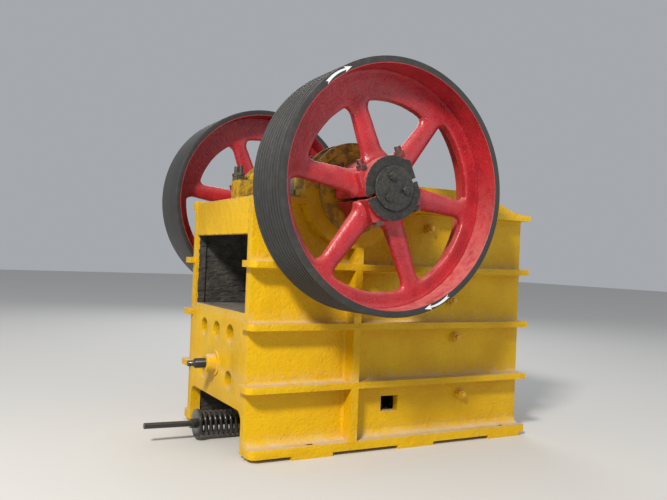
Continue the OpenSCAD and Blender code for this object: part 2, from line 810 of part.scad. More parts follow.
module on_jaw() {
  translate([toe_x, 0, toe_h]) rotate([0, -nip, 0]) children();
}

module moving_jaw_plate() {
  color(STEEL) from_datum()
    on_jaw() translate([-jaw_plate_t, 0, 0]) mirror([1, 0, 0]) toothed_plate(jaw_plate_w, jaw_plate_t, jaw_len);
}

// Wedge bar that clamps the top of the moving jaw plate
module jaw_wedge() {
  color(STEEL) from_datum()
    on_jaw()
      translate([-jaw_plate_t, -jaw_plate_w / 2 + 20, jaw_len + face_gap])
        cube([wedge_t, jaw_plate_w - 40, wedge_h]);
}

module front_toggle_seat() {
  color(STEEL) from_datum()
    on_jaw()
      difference() {
        translate([-seat_depth - seat_t, -toggle_w / 2 - 10, toggle_seat_up - 60])
          cube([seat_t - face_gap, toggle_w + 20, 120]);
        translate([-seat_depth - seat_t - toggle_t / 2 + 6, 0, toggle_seat_up])
          bar_y(toggle_t / 2 + 4, -toggle_w / 2 - 11, toggle_w / 2 + 11);
      }
}

// Tension rod that hangs on the jaw's pin and runs out through the spring
module tension_rod() {
  eye_r = 34;
  color(BLACK) from_datum()
    difference() {
      union() {
        translate([rod_pin_x, 0, rod_z(rod_pin_x)]) rotate([0, 180 + rod_slope, 0])
          rotate([0, 90, 0]) rotate([0, 0, 0])
            cylinder(d = rod_d, h = (rod_pin_x + frame_rear + rod_out) / cos(rod_slope));
        translate([rod_pin_x, 0, rod_z(rod_pin_x)]) bar_y(eye_r, -26, 26);
      }
      translate([rod_pin_x, 0, rod_z(rod_pin_x)]) bar_y(18 + fit_gap, -30, 30);
    }
}

module rod_pin() {
  color(STEEL) from_datum() translate([rod_pin_x, 0, rod_z(rod_pin_x)]) bar_y(18, -72, 72);
}

module on_rod(x) {
  translate([x, 0, rod_z(x)]) rotate([0, 90 + rod_slope, 0]) children();
}

module rod_nuts() {
  color(BLACK) from_datum()
    on_rod(washer_x - washer_t / 2)
      translate([0, 0, -32])
        difference() {
          hex(46, 32);
          translate([0, 0, -1]) cylinder(r = rod_d / 2 + fit_gap, h = 40);
        }
}

module spring_washer() {
  color(BLACK) from_datum()
    on_rod(washer_x)
      translate([0, 0, -washer_t / 2])
        difference() {
          cylinder(d = washer_d, h = washer_t);
          translate([0, 0, -1]) cylinder(r = rod_d / 2 + fit_gap, h = washer_t + 2);
        }
}

// Coil spring: rings of points across the wire, carried along a helix about the rod
module tension_spring() {
  around = 8;
  steps = 16 * spring_turns;
  r = (spring_d - spring_wire) / 2;
  rise = (spring_len - spring_wire) / spring_turns;
  lead = atan(rise / (2 * PI * r));
  function wire_point(i, k) =
    let (a = i * 22.5, out = r + spring_wire / 2 * cos(k * 360 / around), up = spring_wire / 2 * sin(k * 360 / around))
    [out * cos(a) + up * sin(lead) * sin(a), out * sin(a) - up * sin(lead) * cos(a),
     rise * a / 360 + up * cos(lead)];
  sides = [for (i = [0 : steps - 1], k = [0 : around - 1])
    [i * around + k, (i + 1) * around + k, (i + 1) * around + (k + 1) % around, i * around + (k + 1) % around]];
  ends = [[for (k = [0 : around - 1]) k], [for (k = [around - 1 : -1 : 0]) steps * around + k]];
  color(BLACK) from_datum()
    on_rod(washer_x + washer_t / 2 + spring_wire / 2)
      polyhedron([for (i = [0 : steps], k = [0 : around - 1]) wire_point(i, k)], concat(sides, ends));
}

near_side_wall();
far_side_wall();
front_wall();
rear_top_beam();
rear_cross_beam();
spring_seat();
main_bearings();
near_bearing_cap();
far_bearing_cap();
bearing_covers();
cap_studs();
fixed_jaw_plate();
cheek_plates();
cheek_bolts();
adjusting_block();
adjusting_screw();
rear_toggle_seat();
toggle_plate();
eccentric_shaft();
pulley_rim();
pulley_spokes();
flywheel_rim();
flywheel_spokes();
hub_clamp_bolts();
hub_end_caps();
hub_cap_bolts();
swing_jaw();
moving_jaw_plate();
jaw_wedge();
front_toggle_seat();
tension_rod();
rod_pin();
rod_nuts();
spring_washer();
tension_spring();
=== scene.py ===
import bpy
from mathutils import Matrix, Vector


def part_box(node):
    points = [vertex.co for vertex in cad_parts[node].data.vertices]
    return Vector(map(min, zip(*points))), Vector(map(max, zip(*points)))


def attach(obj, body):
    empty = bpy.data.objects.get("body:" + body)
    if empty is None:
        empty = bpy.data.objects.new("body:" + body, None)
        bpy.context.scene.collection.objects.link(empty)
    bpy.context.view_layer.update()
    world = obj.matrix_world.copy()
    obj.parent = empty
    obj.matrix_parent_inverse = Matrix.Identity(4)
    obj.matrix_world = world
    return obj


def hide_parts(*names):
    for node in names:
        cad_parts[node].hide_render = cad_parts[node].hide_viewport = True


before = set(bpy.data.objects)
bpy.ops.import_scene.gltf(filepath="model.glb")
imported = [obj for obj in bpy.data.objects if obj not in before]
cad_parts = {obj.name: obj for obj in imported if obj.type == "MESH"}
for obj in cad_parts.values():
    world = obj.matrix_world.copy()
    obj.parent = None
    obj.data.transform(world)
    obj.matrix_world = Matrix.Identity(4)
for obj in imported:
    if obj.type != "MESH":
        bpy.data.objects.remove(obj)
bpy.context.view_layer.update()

import math

import bmesh
import bpy
from mathutils import Euler, Matrix, Vector, noise

scene = bpy.context.scene

# Studio
# A plain pale floor and soft lights: a big key light from the toggle end and the pulley side, a weak
# fill from the feed end, one from behind and an even pale sky. The camera stands where the
# photograph was taken.
CAMERA_AT, CAMERA_LENS, SENSOR_WIDTH = (-2.368, -3.840, 1.035), 38.66, 36
# In degrees: up from looking straight down, over to one side, and round from looking along Y
CAMERA_UP, CAMERA_OVER, CAMERA_ROUND = 90.6747, -2.2414, -28.7174
scene.view_settings.view_transform = "Standard"
camera = bpy.data.objects.new("camera", bpy.data.cameras.new("camera"))
camera.data.sensor_width = SENSOR_WIDTH
camera.data.lens = CAMERA_LENS
camera.data.clip_end = 200
turns = Euler([math.radians(angle) for angle in (CAMERA_UP, CAMERA_OVER, CAMERA_ROUND)])
camera.matrix_world = Matrix.Translation(CAMERA_AT) @ turns.to_matrix().to_4x4()
scene.collection.objects.link(camera)
scene.camera = camera

FLOOR_REACH = 30
floor_mesh = bpy.data.meshes.new("floor")
corners = [(x * FLOOR_REACH, y * FLOOR_REACH, 0) for x, y in ((-1, -1), (1, -1), (1, 1), (-1, 1))]
floor_mesh.from_pydata(corners, [], [(0, 1, 2, 3)])
floor = bpy.data.objects.new("floor", floor_mesh)
scene.collection.objects.link(floor)
floor_paint = bpy.data.materials.new("studio_floor")
floor_paint.use_nodes = True
floor_shader = floor_paint.node_tree.nodes["Principled BSDF"]
floor_shader.inputs["Base Color"].default_value = (0.62, 0.61, 0.59, 1)
floor_shader.inputs["Roughness"].default_value = 0.9
floor_mesh.materials.append(floor_paint)


def studio_light(name, at, target, width, power, colour):
    lamp = bpy.data.lights.new(name, "AREA")
    lamp.size = width
    lamp.energy = power
    lamp.color = colour
    light = bpy.data.objects.new(name, lamp)
    light.location = at
    light.rotation_euler = (Vector(target) - Vector(at)).to_track_quat("-Z", "Y").to_euler()
    scene.collection.objects.link(light)


studio_light("key", (-6.4, -5.6, 6.6), (-0.3, 0, 0.8), 1.3, 1120, (1, 0.96, 0.90))
studio_light("fill", (5.5, -6.0, 3.0), (-0.2, 0, 0.9), 5.0, 80, (0.9, 0.95, 1))
studio_light("back", (2.5, 6.5, 5.0), (-0.3, 0, 0.9), 4.0, 170, (0.95, 0.97, 1))
world = bpy.data.worlds.new("studio_sky")
world.use_nodes = True
world.node_tree.nodes["Background"].inputs["Color"].default_value = (0.86, 0.90, 0.95, 1)
world.node_tree.nodes["Background"].inputs["Strength"].default_value = 0.44
scene.world = world

# Side walls
# One heavy steel casting in the real machine: two ribbed side walls with wide flanges. The skin is
# sand cast, lumpy under thick yellow paint, with every edge and corner rounded by the mould.
FLANGE_TOPS, FLANGE_PITCH, FLANGE_THICK = (0.064, 0.379, 0.694, 1.009), 0.315, 0.034
WALL_FACE, WALL_REAR, WALL_FRONT = 0.471, -0.991, 0.798
RIB_REAR, RIB_FRONT = -0.429, -0.385
BASE_COVE, TOP_COVE, UNDER_COVE, RIB_COVE = 0.042, 0.024, 0.012, 0.018
MOULD_EDGE, SHARP_ANGLE = 0.0065, 28
# Limits of the unpainted inside: the walls' inner skins, and all that lies above the sill
INSIDE_HALF, INSIDE_REAR, INSIDE_FRONT, SILL_TOP, WALL_SKIN = 0.4262, -0.978, 0.6015, 0.7275, 0.417
PAINT_YELLOW = (0.68, 0.405, 0.004, 1)
PAINT_DEEP = (0.60, 0.335, 0.003, 1)
PAINT_THIN = (0.40, 0.23, 0.02, 1)
ROAD_DUST = (0.56, 0.44, 0.29, 1)
# Dust inside the frame, darkened as painted shade
SHADED_INSIDE_DUST = (0.20, 0.18, 0.15, 1)
WALL_DIRT = (0.20, 0.10, 0.02, 1)
# Bare iron inside the frame, both tones darkened as painted shade
SHADED_BARE_IRON = (0.045, 0.042, 0.038, 1)
SHADED_PALE_IRON = (0.085, 0.078, 0.066, 1)
RUST = (0.14, 0.052, 0.022, 1)


def place(tree, kind, inputs=None, **settings):
    """Adds a shader node; each input is a value or another node's socket."""
    node = tree.nodes.new(kind)
    for name, value in settings.items():
        setattr(node, name, value)
    for name, value in (inputs or {}).items():
        if isinstance(value, bpy.types.NodeSocket):
            tree.links.new(value, node.inputs[name])
        else:
            node.inputs[name].default_value = value
    return node


def maths(tree, operation, first, second=0.0, clamp=False):
    node = place(tree, "ShaderNodeMath", {0: first, 1: second}, operation=operation, use_clamp=clamp)
    return node.outputs[0]


def times(tree, first, second, clamp=False):
    return maths(tree, "MULTIPLY", first, second, clamp)


def raised(tree, base, mask, share):
    """A base value, raised by a share of a mask."""
    return maths(tree, "ADD", times(tree, mask, share), base)


def ramp(tree, value, low, high, to_low=0.0, to_high=1.0):
    """Smooth step of a value from low to high."""
    return place(tree, "ShaderNodeMapRange", {
        "Value": value, "From Min": low, "From Max": high, "To Min": to_low, "To Max": to_high,
    }, interpolation_type="SMOOTHSTEP").outputs["Result"]


def coats(tree, colour, *layers):
    """Lays coats over a colour one after the other, each where its own mask shows."""
    for mask, coat in layers:
        mix = place(tree, "ShaderNodeMix", {0: mask, 6: colour, 7: coat}, data_type="RGBA")
        colour = mix.outputs[2]
    return colour


def parts_of(tree, coordinate):
    """X, Y and Z of a coordinate fixed to the piece: its position in metres, or its normal."""
    source = place(tree, "ShaderNodeTexCoord").outputs[coordinate]
    return place(tree, "ShaderNodeSeparateXYZ", {0: source}).outputs


def grain_noise(tree, size, detail=2.0, roughness=0.55, stretch=None):
    """Noise with features of a given size in metres, fixed to the piece."""
    where = place(tree, "ShaderNodeTexCoord").outputs["Object"]
    if stretch:
        where = place(tree, "ShaderNodeMapping", {"Vector": where, "Scale": stretch}).outputs[0]
    scale = maths(tree, "DIVIDE", 1.0, size)
    return place(tree, "ShaderNodeTexNoise", {
        "Vector": where, "Scale": scale, "Detail": detail, "Roughness": roughness,
    }).outputs["Fac"]


def ragged(tree, size, reach):
    """How far the edge of a coat of paint wanders to either side, up to half a reach."""
    return times(tree, maths(tree, "SUBTRACT", grain_noise(tree, size, 3.0), 0.5), reach)


def effect(name, inputs, outputs):
    """Starts a shader effect with named inputs and outputs."""
    tree = bpy.data.node_groups.new(name, "ShaderNodeTree")
    for label, value in inputs.items():
        socket = tree.interface.new_socket(label, in_out="INPUT", socket_type="NodeSocketFloat")
        socket.default_value = value
    for label in outputs:
        tree.interface.new_socket(label, in_out="OUTPUT", socket_type="NodeSocketFloat")
    return tree, tree.nodes.new("NodeGroupInput").outputs, tree.nodes.new("NodeGroupOutput").inputs


def use_effect(tree, group, inputs):
    """Places an effect with its own values and gives its outputs."""
    return place(tree, "ShaderNodeGroup", inputs, node_tree=group).outputs


# Sand-cast skin: broad lumps, a fine grain and scattered pits, as a height in metres
cast_skin, given, result = effect("cast_skin", {
    "Lump Size": 0.05, "Lump Depth": 0.0055, "Grain Size": 0.013, "Grain Depth": 0.0042, "Pits": 0.0011,
}, ("Height", "Mottle"))
lumps = times(cast_skin, grain_noise(cast_skin, given["Lump Size"], 2.0), given["Lump Depth"])
grain = times(cast_skin, grain_noise(cast_skin, given["Grain Size"], 2.5, 0.6), given["Grain Depth"])
hollows = grain_noise(cast_skin, times(cast_skin, given["Grain Size"], 2.2), 1.0)
pits = times(cast_skin, ramp(cast_skin, hollows, 0.27, 0.36), given["Pits"])
height = maths(cast_skin, "ADD", maths(cast_skin, "ADD", lumps, grain), pits)
cast_skin.links.new(height, result["Height"])
broad = grain_noise(cast_skin, times(cast_skin, given["Lump Size"], 7.0), 4.0, 0.6)
cast_skin.links.new(ramp(cast_skin, broad, 0.35, 0.68), result["Mottle"])

# Dust that lies on faces that look up, in patches
settled_dust, given, result = effect(
    "settled_dust", {"Amount": 0.7, "Patch Size": 0.08, "Slope": 0.72}, ("Mask",))
flat = ramp(settled_dust, parts_of(settled_dust, "Normal")["Z"], given["Slope"], 0.98)
patches = grain_noise(settled_dust, given["Patch Size"], 4.0, 0.65)
dusty = times(settled_dust, flat, ramp(settled_dust, patches, 0.28, 0.62, 0.25, 1.0))
settled_dust.links.new(times(settled_dust, dusty, given["Amount"], True), result["Mask"])

# Paint chipped from rounded edges, and dirt held in hollow corners
edge_wear, given, result = effect(
    "edge_wear", {"Wear": 0.5, "Dirt": 0.6, "Chip Size": 0.02}, ("Chips", "Corners"))
chips = ramp(edge_wear, grain_noise(edge_wear, given["Chip Size"], 3.0, 0.7), 0.52, 0.60)
edge = place(edge_wear, "ShaderNodeAttribute", attribute_name="outer_edge").outputs["Fac"]
chipped = times(edge_wear, times(edge_wear, chips, edge), given["Wear"], True)
edge_wear.links.new(chipped, result["Chips"])
hollow = place(edge_wear, "ShaderNodeAttribute", attribute_name="inner_corner").outputs["Fac"]
streaky = ramp(edge_wear, grain_noise(edge_wear, 0.05, 3.0), 0.3, 0.6, 0.35, 1.0)
dirt = times(edge_wear, times(edge_wear, hollow, streaky), given["Dirt"], True)
edge_wear.links.new(dirt, result["Corners"])


def finish_material(name):
    """A new material, its node tree and its shader."""
    material = bpy.data.materials.new(name)
    material.use_nodes = True
    return material, material.node_tree, material.node_tree.nodes["Principled BSDF"]


def set_surface(tree, shader, colour, roughness, height):
    """Joins a colour, a roughness and a height in metres to a material's shader."""
    tree.links.new(colour, shader.inputs["Base Color"])
    tree.links.new(roughness, shader.inputs["Roughness"])
    bump = place(tree, "ShaderNodeBump", {"Height": height, "Strength": 1.0, "Distance": 1.0})
    tree.links.new(bump.outputs["Normal"], shader.inputs["Normal"])


yellow_cast, tree, shader = finish_material("yellow_cast_paint")
skin = use_effect(tree, cast_skin, {})
wear = use_effect(tree, edge_wear, {"Wear": 0.75, "Dirt": 0.8})
dust = use_effect(tree, settled_dust, {"Amount": 0.88, "Patch Size": 0.10, "Slope": 0.45})["Mask"]
thin = times(tree, ramp(tree, grain_noise(tree, 0.035, 4.0, 0.7), 0.62, 0.74), 0.35)
colour = coats(tree, PAINT_YELLOW, (skin["Mottle"], PAINT_DEEP), (thin, PAINT_THIN))
# Splashed dust on the wall just above each flange, strongest at the base
spot = parts_of(tree, "Object")
above = maths(tree, "SUBTRACT", spot["Z"], FLANGE_TOPS[0] - FLANGE_PITCH)
above = maths(tree, "MODULO", above, FLANGE_PITCH)
splash = ramp(tree, grain_noise(tree, 0.06, 4.0), 0.3, 0.7)
splash = times(tree, ramp(tree, above, 0.0, 0.075, 1.0, 0.0), splash)
splash = times(tree, splash, ramp(tree, spot["Z"], 0.1, 1.3, 0.36, 0.14), True)
colour = coats(tree, colour, (splash, ROAD_DUST), (wear["Corners"], WALL_DIRT), (wear["Chips"], RUST))
# Inside the frame the casting was never painted; its bare iron and the dust on it are also darkened there
# as painted shade
side = maths(tree, "ABSOLUTE", spot["Y"])
inside = maths(tree, "LESS_THAN", side, INSIDE_HALF)
rear_line = maths(tree, "ADD", spot["X"], ragged(tree, 0.03, 0.02))
inside = times(tree, inside, maths(tree, "GREATER_THAN", rear_line, INSIDE_REAR))
inside = times(tree, inside, maths(tree, "LESS_THAN", spot["X"], INSIDE_FRONT))
above_sill = maths(tree, "GREATER_THAN", spot["Z"], SILL_TOP)
on_wall = maths(tree, "GREATER_THAN", side, WALL_SKIN)
inside = times(tree, inside, maths(tree, "MAXIMUM", above_sill, on_wall))
iron = coats(tree, SHADED_BARE_IRON, (ramp(tree, grain_noise(tree, 0.05, 5.0, 0.7), 0.4, 0.7), SHADED_PALE_IRON))
dust_and_inside_shade = coats(tree, ROAD_DUST, (inside, SHADED_INSIDE_DUST))
colour = coats(tree, colour, (inside, iron), (dust, dust_and_inside_shade))
gloss = raised(tree, 0.33, skin["Mottle"], 0.12)
rough = maths(tree, "MAXIMUM", gloss, times(tree, maths(tree, "MAXIMUM", dust, splash), 0.9))
bare = times(tree, maths(tree, "MAXIMUM", inside, wear["Chips"]), 0.82)
rough = maths(tree, "MAXIMUM", rough, bare)
# The unpainted skin inside is wavy, as the mould left it
waves = times(tree, grain_noise(tree, 0.055, 4.0, 0.6, (0.45, 0.45, 1.6)), 0.030)
set_surface(tree, shader, colour, rough, raised(tree, skin["Height"], inside, waves))
shader.inputs["Specular IOR Level"].default_value = 0.2


def mesh_of(work, name):
    """Turns a working mesh into a mesh and lets the working one go."""
    mesh = bpy.data.meshes.new(name)
    work.to_mesh(mesh)
    work.free()
    return mesh


def finished_mesh(work, name, crease=40.0):
    """Turns a working mesh into a smooth shaded one with its sharp edges kept."""
    bmesh.ops.recalc_face_normals(work, faces=work.faces)
    for face in work.faces:
        face.smooth = True
    for edge in work.edges:
        edge.smooth = edge.calc_face_angle(0) < math.radians(crease)
    return mesh_of(work, name)


def mark_edges(mesh):
    """Writes which faces are rounded outer edges and which are rounded inner corners."""
    work = bmesh.new()
    work.from_mesh(mesh)
    outer, inner = [0.0] * len(work.faces), [0.0] * len(work.faces)
    for face in work.faces:
        if face.material_index != 1:
            continue
        turn, middle = 0.0, face.calc_center_median()
        for edge in face.edges:
            for other in edge.link_faces:
                if other is not face:
                    turn += (other.normal - face.normal).dot(other.calc_center_median() - middle)
        if turn >= 0:
            outer[face.index] = 1.0
        else:
            inner[face.index] = 1.0
    work.free()
    for name, values in (("outer_edge", outer), ("inner_corner", inner)):
        mesh.attributes.new(name, "FLOAT", "FACE").data.foreach_set("value", values)
    mesh.polygons.foreach_set("material_index", [0] * len(mesh.polygons))


def rounded(mesh, radius, material, segments):
    """The same shape with its edges and corners rounded and marked for the paint's wear."""
    mesh.materials.append(material)
    mesh.materials.append(material)
    draft = bpy.data.objects.new(mesh.name + "_draft", mesh)
    scene.collection.objects.link(draft)
    bevel = draft.modifiers.new("mould_edge", "BEVEL")
    bevel.width = radius
    bevel.segments = segments
    bevel.limit_method = "ANGLE"
    bevel.angle_limit = math.radians(SHARP_ANGLE)
    bevel.use_clamp_overlap = True
    bevel.harden_normals = True
    bevel.material = 1
    bpy.context.view_layer.update()
    solved = bpy.context.evaluated_depsgraph_get()
    shaped = bpy.data.meshes.new_from_object(
        draft.evaluated_get(solved), preserve_all_data_layers=True, depsgraph=solved)
    bpy.data.objects.remove(draft)
    mark_edges(shaped)
    return shaped


def add_piece(name, mesh, material, body, slot, *replaced):
    """Shows a mesh as a piece that rides on a body and stands for the named nodes."""
    mesh.materials.clear()
    mesh.materials.append(material)
    piece = bpy.data.objects.new(name, mesh)
    scene.collection.objects.link(piece)
    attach(piece, body)
    if replaced:
        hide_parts(*replaced)


def rounded_copy(node, name, radius, material, body, slot, segments=3):
    """A node's own shape, rounded as the mould or the grinder leaves it, in the node's place."""
    work = bmesh.new()
    work.from_mesh(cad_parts[node].data)
    bmesh.ops.remove_doubles(work, verts=work.verts, dist=2e-6)
    bmesh.ops.dissolve_limit(work, angle_limit=math.radians(0.3), verts=work.verts, edges=work.edges)
    for face in work.faces:
        face.smooth = True
        face.material_index = 0
    shaped = rounded(mesh_of(work, name), radius, material, segments)
    add_piece(name, shaped, material, body, slot, node)


def loft(work, sections):
    """Closed skin through equal rings of points."""
    rings = [[work.verts.new(p) for p in ring] for ring in sections]
    for near, far in zip(rings, rings[1:]):
        for k in range(len(near)):
            after = (k + 1) % len(near)
            work.faces.new((near[k], near[after], far[after], far[k]))
    work.faces.new(list(reversed(rings[0])))
    work.faces.new(rings[-1])


def fill_corner(work, start, end, along_one, along_other, radius):
    """Fills the hollow corner along a line with a cove that runs out tangent to both faces."""
    one, other = Vector(along_one), Vector(along_other)
    steps, behind, sunk = 8, 0.002, 0.0004
    sections = []
    for point in (Vector(start), Vector(end)):
        ring = [point - (one + other) * behind]
        for step in range(steps + 1):
            turn = math.pi / 2 * step / steps
            inward = one * math.cos(turn) + other * math.sin(turn)
            ring.append(point + (one + other) * radius - inward * (radius + sunk))
        sections.append(ring)
    loft(work, sections)


for node, side in (("near_side_wall", -1), ("far_side_wall", 1)):
    rounded_copy(node, node + "_casting", MOULD_EDGE, yellow_cast, "frame", "yellow_paint", 4)
    coves = bmesh.new()
    face, outward = side * WALL_FACE, (0, side, 0)
    for top in FLANGE_TOPS:
        is_base = top == FLANGE_TOPS[0]
        wide = BASE_COVE if is_base else TOP_COVE
        fill_corner(coves, (WALL_REAR, face, top), (WALL_FRONT, face, top), (0, 0, 1), outward, wide)
        if not is_base:
            under = top - FLANGE_THICK
            ends = (WALL_REAR, face, under), (WALL_FRONT, face, under)
            fill_corner(coves, *ends, (0, 0, -1), outward, UNDER_COVE)
    for x, way in ((RIB_REAR, -1), (RIB_FRONT, 1)):
        for low, high in zip(FLANGE_TOPS, FLANGE_TOPS[1:]):
            ends = (x, face, low), (x, face, high - FLANGE_THICK)
            fill_corner(coves, *ends, (way, 0, 0), outward, RIB_COVE)
    coves = finished_mesh(coves, node + "_coves")
    add_piece(node + "_coves", coves, yellow_cast, "frame", "yellow_paint")

# Front wall, rear beams and spring seat
# They belong to the same casting: a ribbed wall behind the fixed jaw, a plain beam over the rear
# window, a boxed cross beam with five core holes and a boss for the adjusting screw, and the bracket
# that the tension spring bears on.
for node in ("front_wall", "rear_top_beam", "rear_cross_beam", "spring_seat"):
    rounded_copy(node, node + "_casting", MOULD_EDGE, yellow_cast, "frame", "yellow_paint")

# Bearing housings
# Cast caps over the two roller bearings, painted yellow, with a cover ring at each face. Grease and
# thick grey dust lie on the caps and the rings, and the bearings inside are bare turned steel.
CAP_EDGE, COVER_EDGE = 0.005, 0.002
CAP_GREASE = (0.17, 0.105, 0.03, 1)
CAP_DIRT = (0.12, 0.07, 0.02, 1)
CAP_DUST = (0.115, 0.105, 0.088, 1)
TURNED_STEEL = (0.36, 0.345, 0.32, 1)
STEEL_STAIN = (0.17, 0.12, 0.085, 1)

yellow_cap, tree, shader = finish_material("yellow_cap_paint")
skin = use_effect(tree, cast_skin, {"Lump Size": 0.03, "Lump Depth": 0.0016})
wear = use_effect(tree, edge_wear, {"Wear": 0.9, "Dirt": 0.8})
dust = use_effect(tree, settled_dust, {"Amount": 1.0, "Patch Size": 0.05, "Slope": 0.35})["Mask"]
grimy = times(tree, ramp(tree, grain_noise(tree, 0.07, 5.0, 0.7), 0.42, 0.62), 0.8)
dusty = maths(tree, "MAXIMUM", wear["Chips"], dust)
colour = coats(tree, PAINT_YELLOW, (skin["Mottle"], PAINT_DEEP), (grimy, CAP_GREASE),
               (wear["Corners"], CAP_DIRT), (dusty, CAP_DUST))
rough = raised(tree, 0.42, maths(tree, "MAXIMUM", dust, grimy), 0.4)
set_surface(tree, shader, colour, rough, skin["Height"])
for node in ("near_bearing_cap", "far_bearing_cap"):
    rounded_copy(node, node + "_casting", CAP_EDGE, yellow_cap, "frame", "yellow_paint")

bare_steel, tree, shader = finish_material("machined_steel")
turned = grain_noise(tree, 0.0022, 2.0, 0.5, (1.0, 0.12, 1.0))
stain = ramp(tree, grain_noise(tree, 0.045, 5.0, 0.7), 0.40, 0.66)
colour = coats(tree, TURNED_STEEL, (stain, STEEL_STAIN))
set_surface(tree, shader, colour, raised(tree, 0.34, stain, 0.35), times(tree, turned, 0.0003))
shader.inputs["Metallic"].default_value = 0.85
rounded_copy("main_bearings", "roller_bearings", COVER_EDGE, bare_steel, "frame", "bare_steel")
rounded_copy("bearing_covers", "bearing_cover_rings", COVER_EDGE, yellow_cap, "frame", "yellow_paint")

# Cap studs
# Long studs with two nuts each hold every cap down. They are plain steel with cut threads, dark
# with oil and dirt.
SHAFT = Vector((-0.443, 0, 1.390))
STUD_X, STUD_Y, EAR_TOP = 0.278, (0.431, 0.511), 1.510
STUD_FOOT, STUD_PLAIN, STUD_R = 1.392, 1.500, 0.0142
# A thread's start, end, radius, pitch and depth
STUD_THREAD = (1.502, 1.600, 0.0150, 0.0035, 0.0011)
NUT_FLATS, NUT_H, LOCK_NUT_H, LOCK_NUT_AT, LOCK_TURN = 0.046, 0.024, 0.020, 0.0255, 0.4
OILED_STEEL = (0.055, 0.052, 0.048, 1)
BROWN_STEEL = (0.10, 0.075, 0.05, 1)
RUBBED_STEEL = (0.27, 0.24, 0.20, 1)
STUD_DUST = (0.30, 0.25, 0.18, 1)

black_oxide, tree, shader = finish_material("dark_fastener")
skin = use_effect(tree, cast_skin, {
    "Lump Size": 0.012, "Lump Depth": 0.0003, "Grain Size": 0.003, "Grain Depth": 0.0003})
wear = use_effect(tree, edge_wear, {"Wear": 0.8, "Dirt": 0.5, "Chip Size": 0.006})
dust = use_effect(tree, settled_dust, {"Amount": 0.7, "Patch Size": 0.02, "Slope": 0.4})["Mask"]
colour = coats(tree, OILED_STEEL, (skin["Mottle"], BROWN_STEEL), (wear["Chips"], RUBBED_STEEL),
               (dust, STUD_DUST))
set_surface(tree, shader, colour, raised(tree, 0.42, dust, 0.35), skin["Height"])
shader.inputs["Metallic"].default_value = 0.35


def circle(count):
    """Angles that divide a full turn."""
    return [2 * math.pi * k / count for k in range(count)]


def turned_piece(name, stations, sides=28):
    """Revolves (distance along, radius) stations about the X axis into a closed mesh."""
    work = bmesh.new()
    rings = []
    for along, radius in stations:
        ring = [(along, radius * math.cos(turn), radius * math.sin(turn)) for turn in circle(sides)]
        rings.append([work.verts.new(point) for point in ring])
    for near, far in zip(rings, rings[1:]):
        for k in range(sides):
            after = (k + 1) % sides
            work.faces.new((near[k], far[k], far[after], near[after])).smooth = True
    work.faces.new(list(reversed(rings[0])))
    work.faces.new(rings[-1])
    bmesh.ops.recalc_face_normals(work, faces=work.faces)
    return mesh_of(work, name)


def thread_stations(start, end, radius, pitch, depth):
    """Crests and roots of a thread from start to end, with a chamfer at the end."""
    stations = []
    turns = int(abs(end - start) / pitch)
    step = (end - start) / turns
    for turn in range(turns):
        at = start + turn * step
        stations += [(at, radius - depth), (at + 0.3 * step, radius), (at + 0.5 * step, radius),
                     (at + 0.8 * step, radius - depth)]
    return stations + [(end, radius - depth), (end + 0.4 * step, radius - 1.6 * depth)]


def hex_nut(flats, thick):
    """Hexagon nut standing on the XY plane, its corners turned down at both faces."""
    work = bmesh.new()
    corner, face_r = flats / math.sqrt(3), flats * 0.48
    drop = (corner - face_r) * 0.5
    sides = 48
    rings = []
    for level, reach in ((0, face_r), (drop, None), (thick - drop, None), (thick, face_r)):
        ring = []
        for angle in circle(sides):
            to_flat = flats / 2 / math.cos((angle + math.pi / 6) % (math.pi / 3) - math.pi / 6)
            radius = min(to_flat, reach) if reach else to_flat
            lift = 0 if reach else (corner - to_flat) * 0.5 * (-1 if level < thick / 2 else 1)
            ring.append((radius * math.cos(angle), radius * math.sin(angle), level + lift))
        rings.append(ring)
    loft(work, rings)
    return work


def join_at(target, source, matrix):
    """Adds a copy of one working mesh to another, moved by a matrix."""
    mesh = bpy.data.meshes.new("part")
    source.to_mesh(mesh)
    mesh.transform(matrix)
    target.from_mesh(mesh)
    bpy.data.meshes.remove(mesh)


studs = bmesh.new()
stud_bar = bmesh.new()
stations = [(STUD_FOOT, STUD_R), (STUD_PLAIN, STUD_R)] + thread_stations(*STUD_THREAD)
stud_bar.from_mesh(turned_piece("stud", stations, 24))
nut = hex_nut(NUT_FLATS, NUT_H)
lock_nut = hex_nut(NUT_FLATS, LOCK_NUT_H)
turn_up = Matrix.Rotation(math.radians(-90), 4, "Y")
for x in (-STUD_X, STUD_X):
    for y in STUD_Y:
        # The nuts stop at different angles, where they came tight
        twist = Matrix.Rotation(x * 9 + y * 31, 4, "Z")
        for side in (-1, 1):
            foot = Matrix.Translation((SHAFT.x + x, side * y, 0))
            join_at(studs, stud_bar, foot @ turn_up)
            join_at(studs, nut, foot @ Matrix.Translation((0, 0, EAR_TOP)) @ twist)
            on_nut = foot @ Matrix.Translation((0, 0, EAR_TOP + LOCK_NUT_AT))
            join_at(studs, lock_nut, on_nut @ twist @ Matrix.Rotation(LOCK_TURN, 4, "Z"))
add_piece("cap_stud_set", mesh_of(studs, "cap_stud_set"), black_oxide, "frame", "dark_bolt", "cap_studs")

# Jaw plates, cheek plates and wedge
# Manganese steel castings: toothed plates on the fixed and the swing jaw, flat cheek plates between
# them. They are rough, brown with rust and pale with stone dust, and bright where rock has rubbed.
JAW_PLATE_EDGE, WEDGE_EDGE = 0.004, 0.003
JAW_GREY = (0.15, 0.135, 0.12, 1)
JAW_RUST = (0.19, 0.10, 0.055, 1)
ROCK_POLISH = (0.34, 0.32, 0.29, 1)
STONE_DUST = (0.42, 0.36, 0.28, 1)

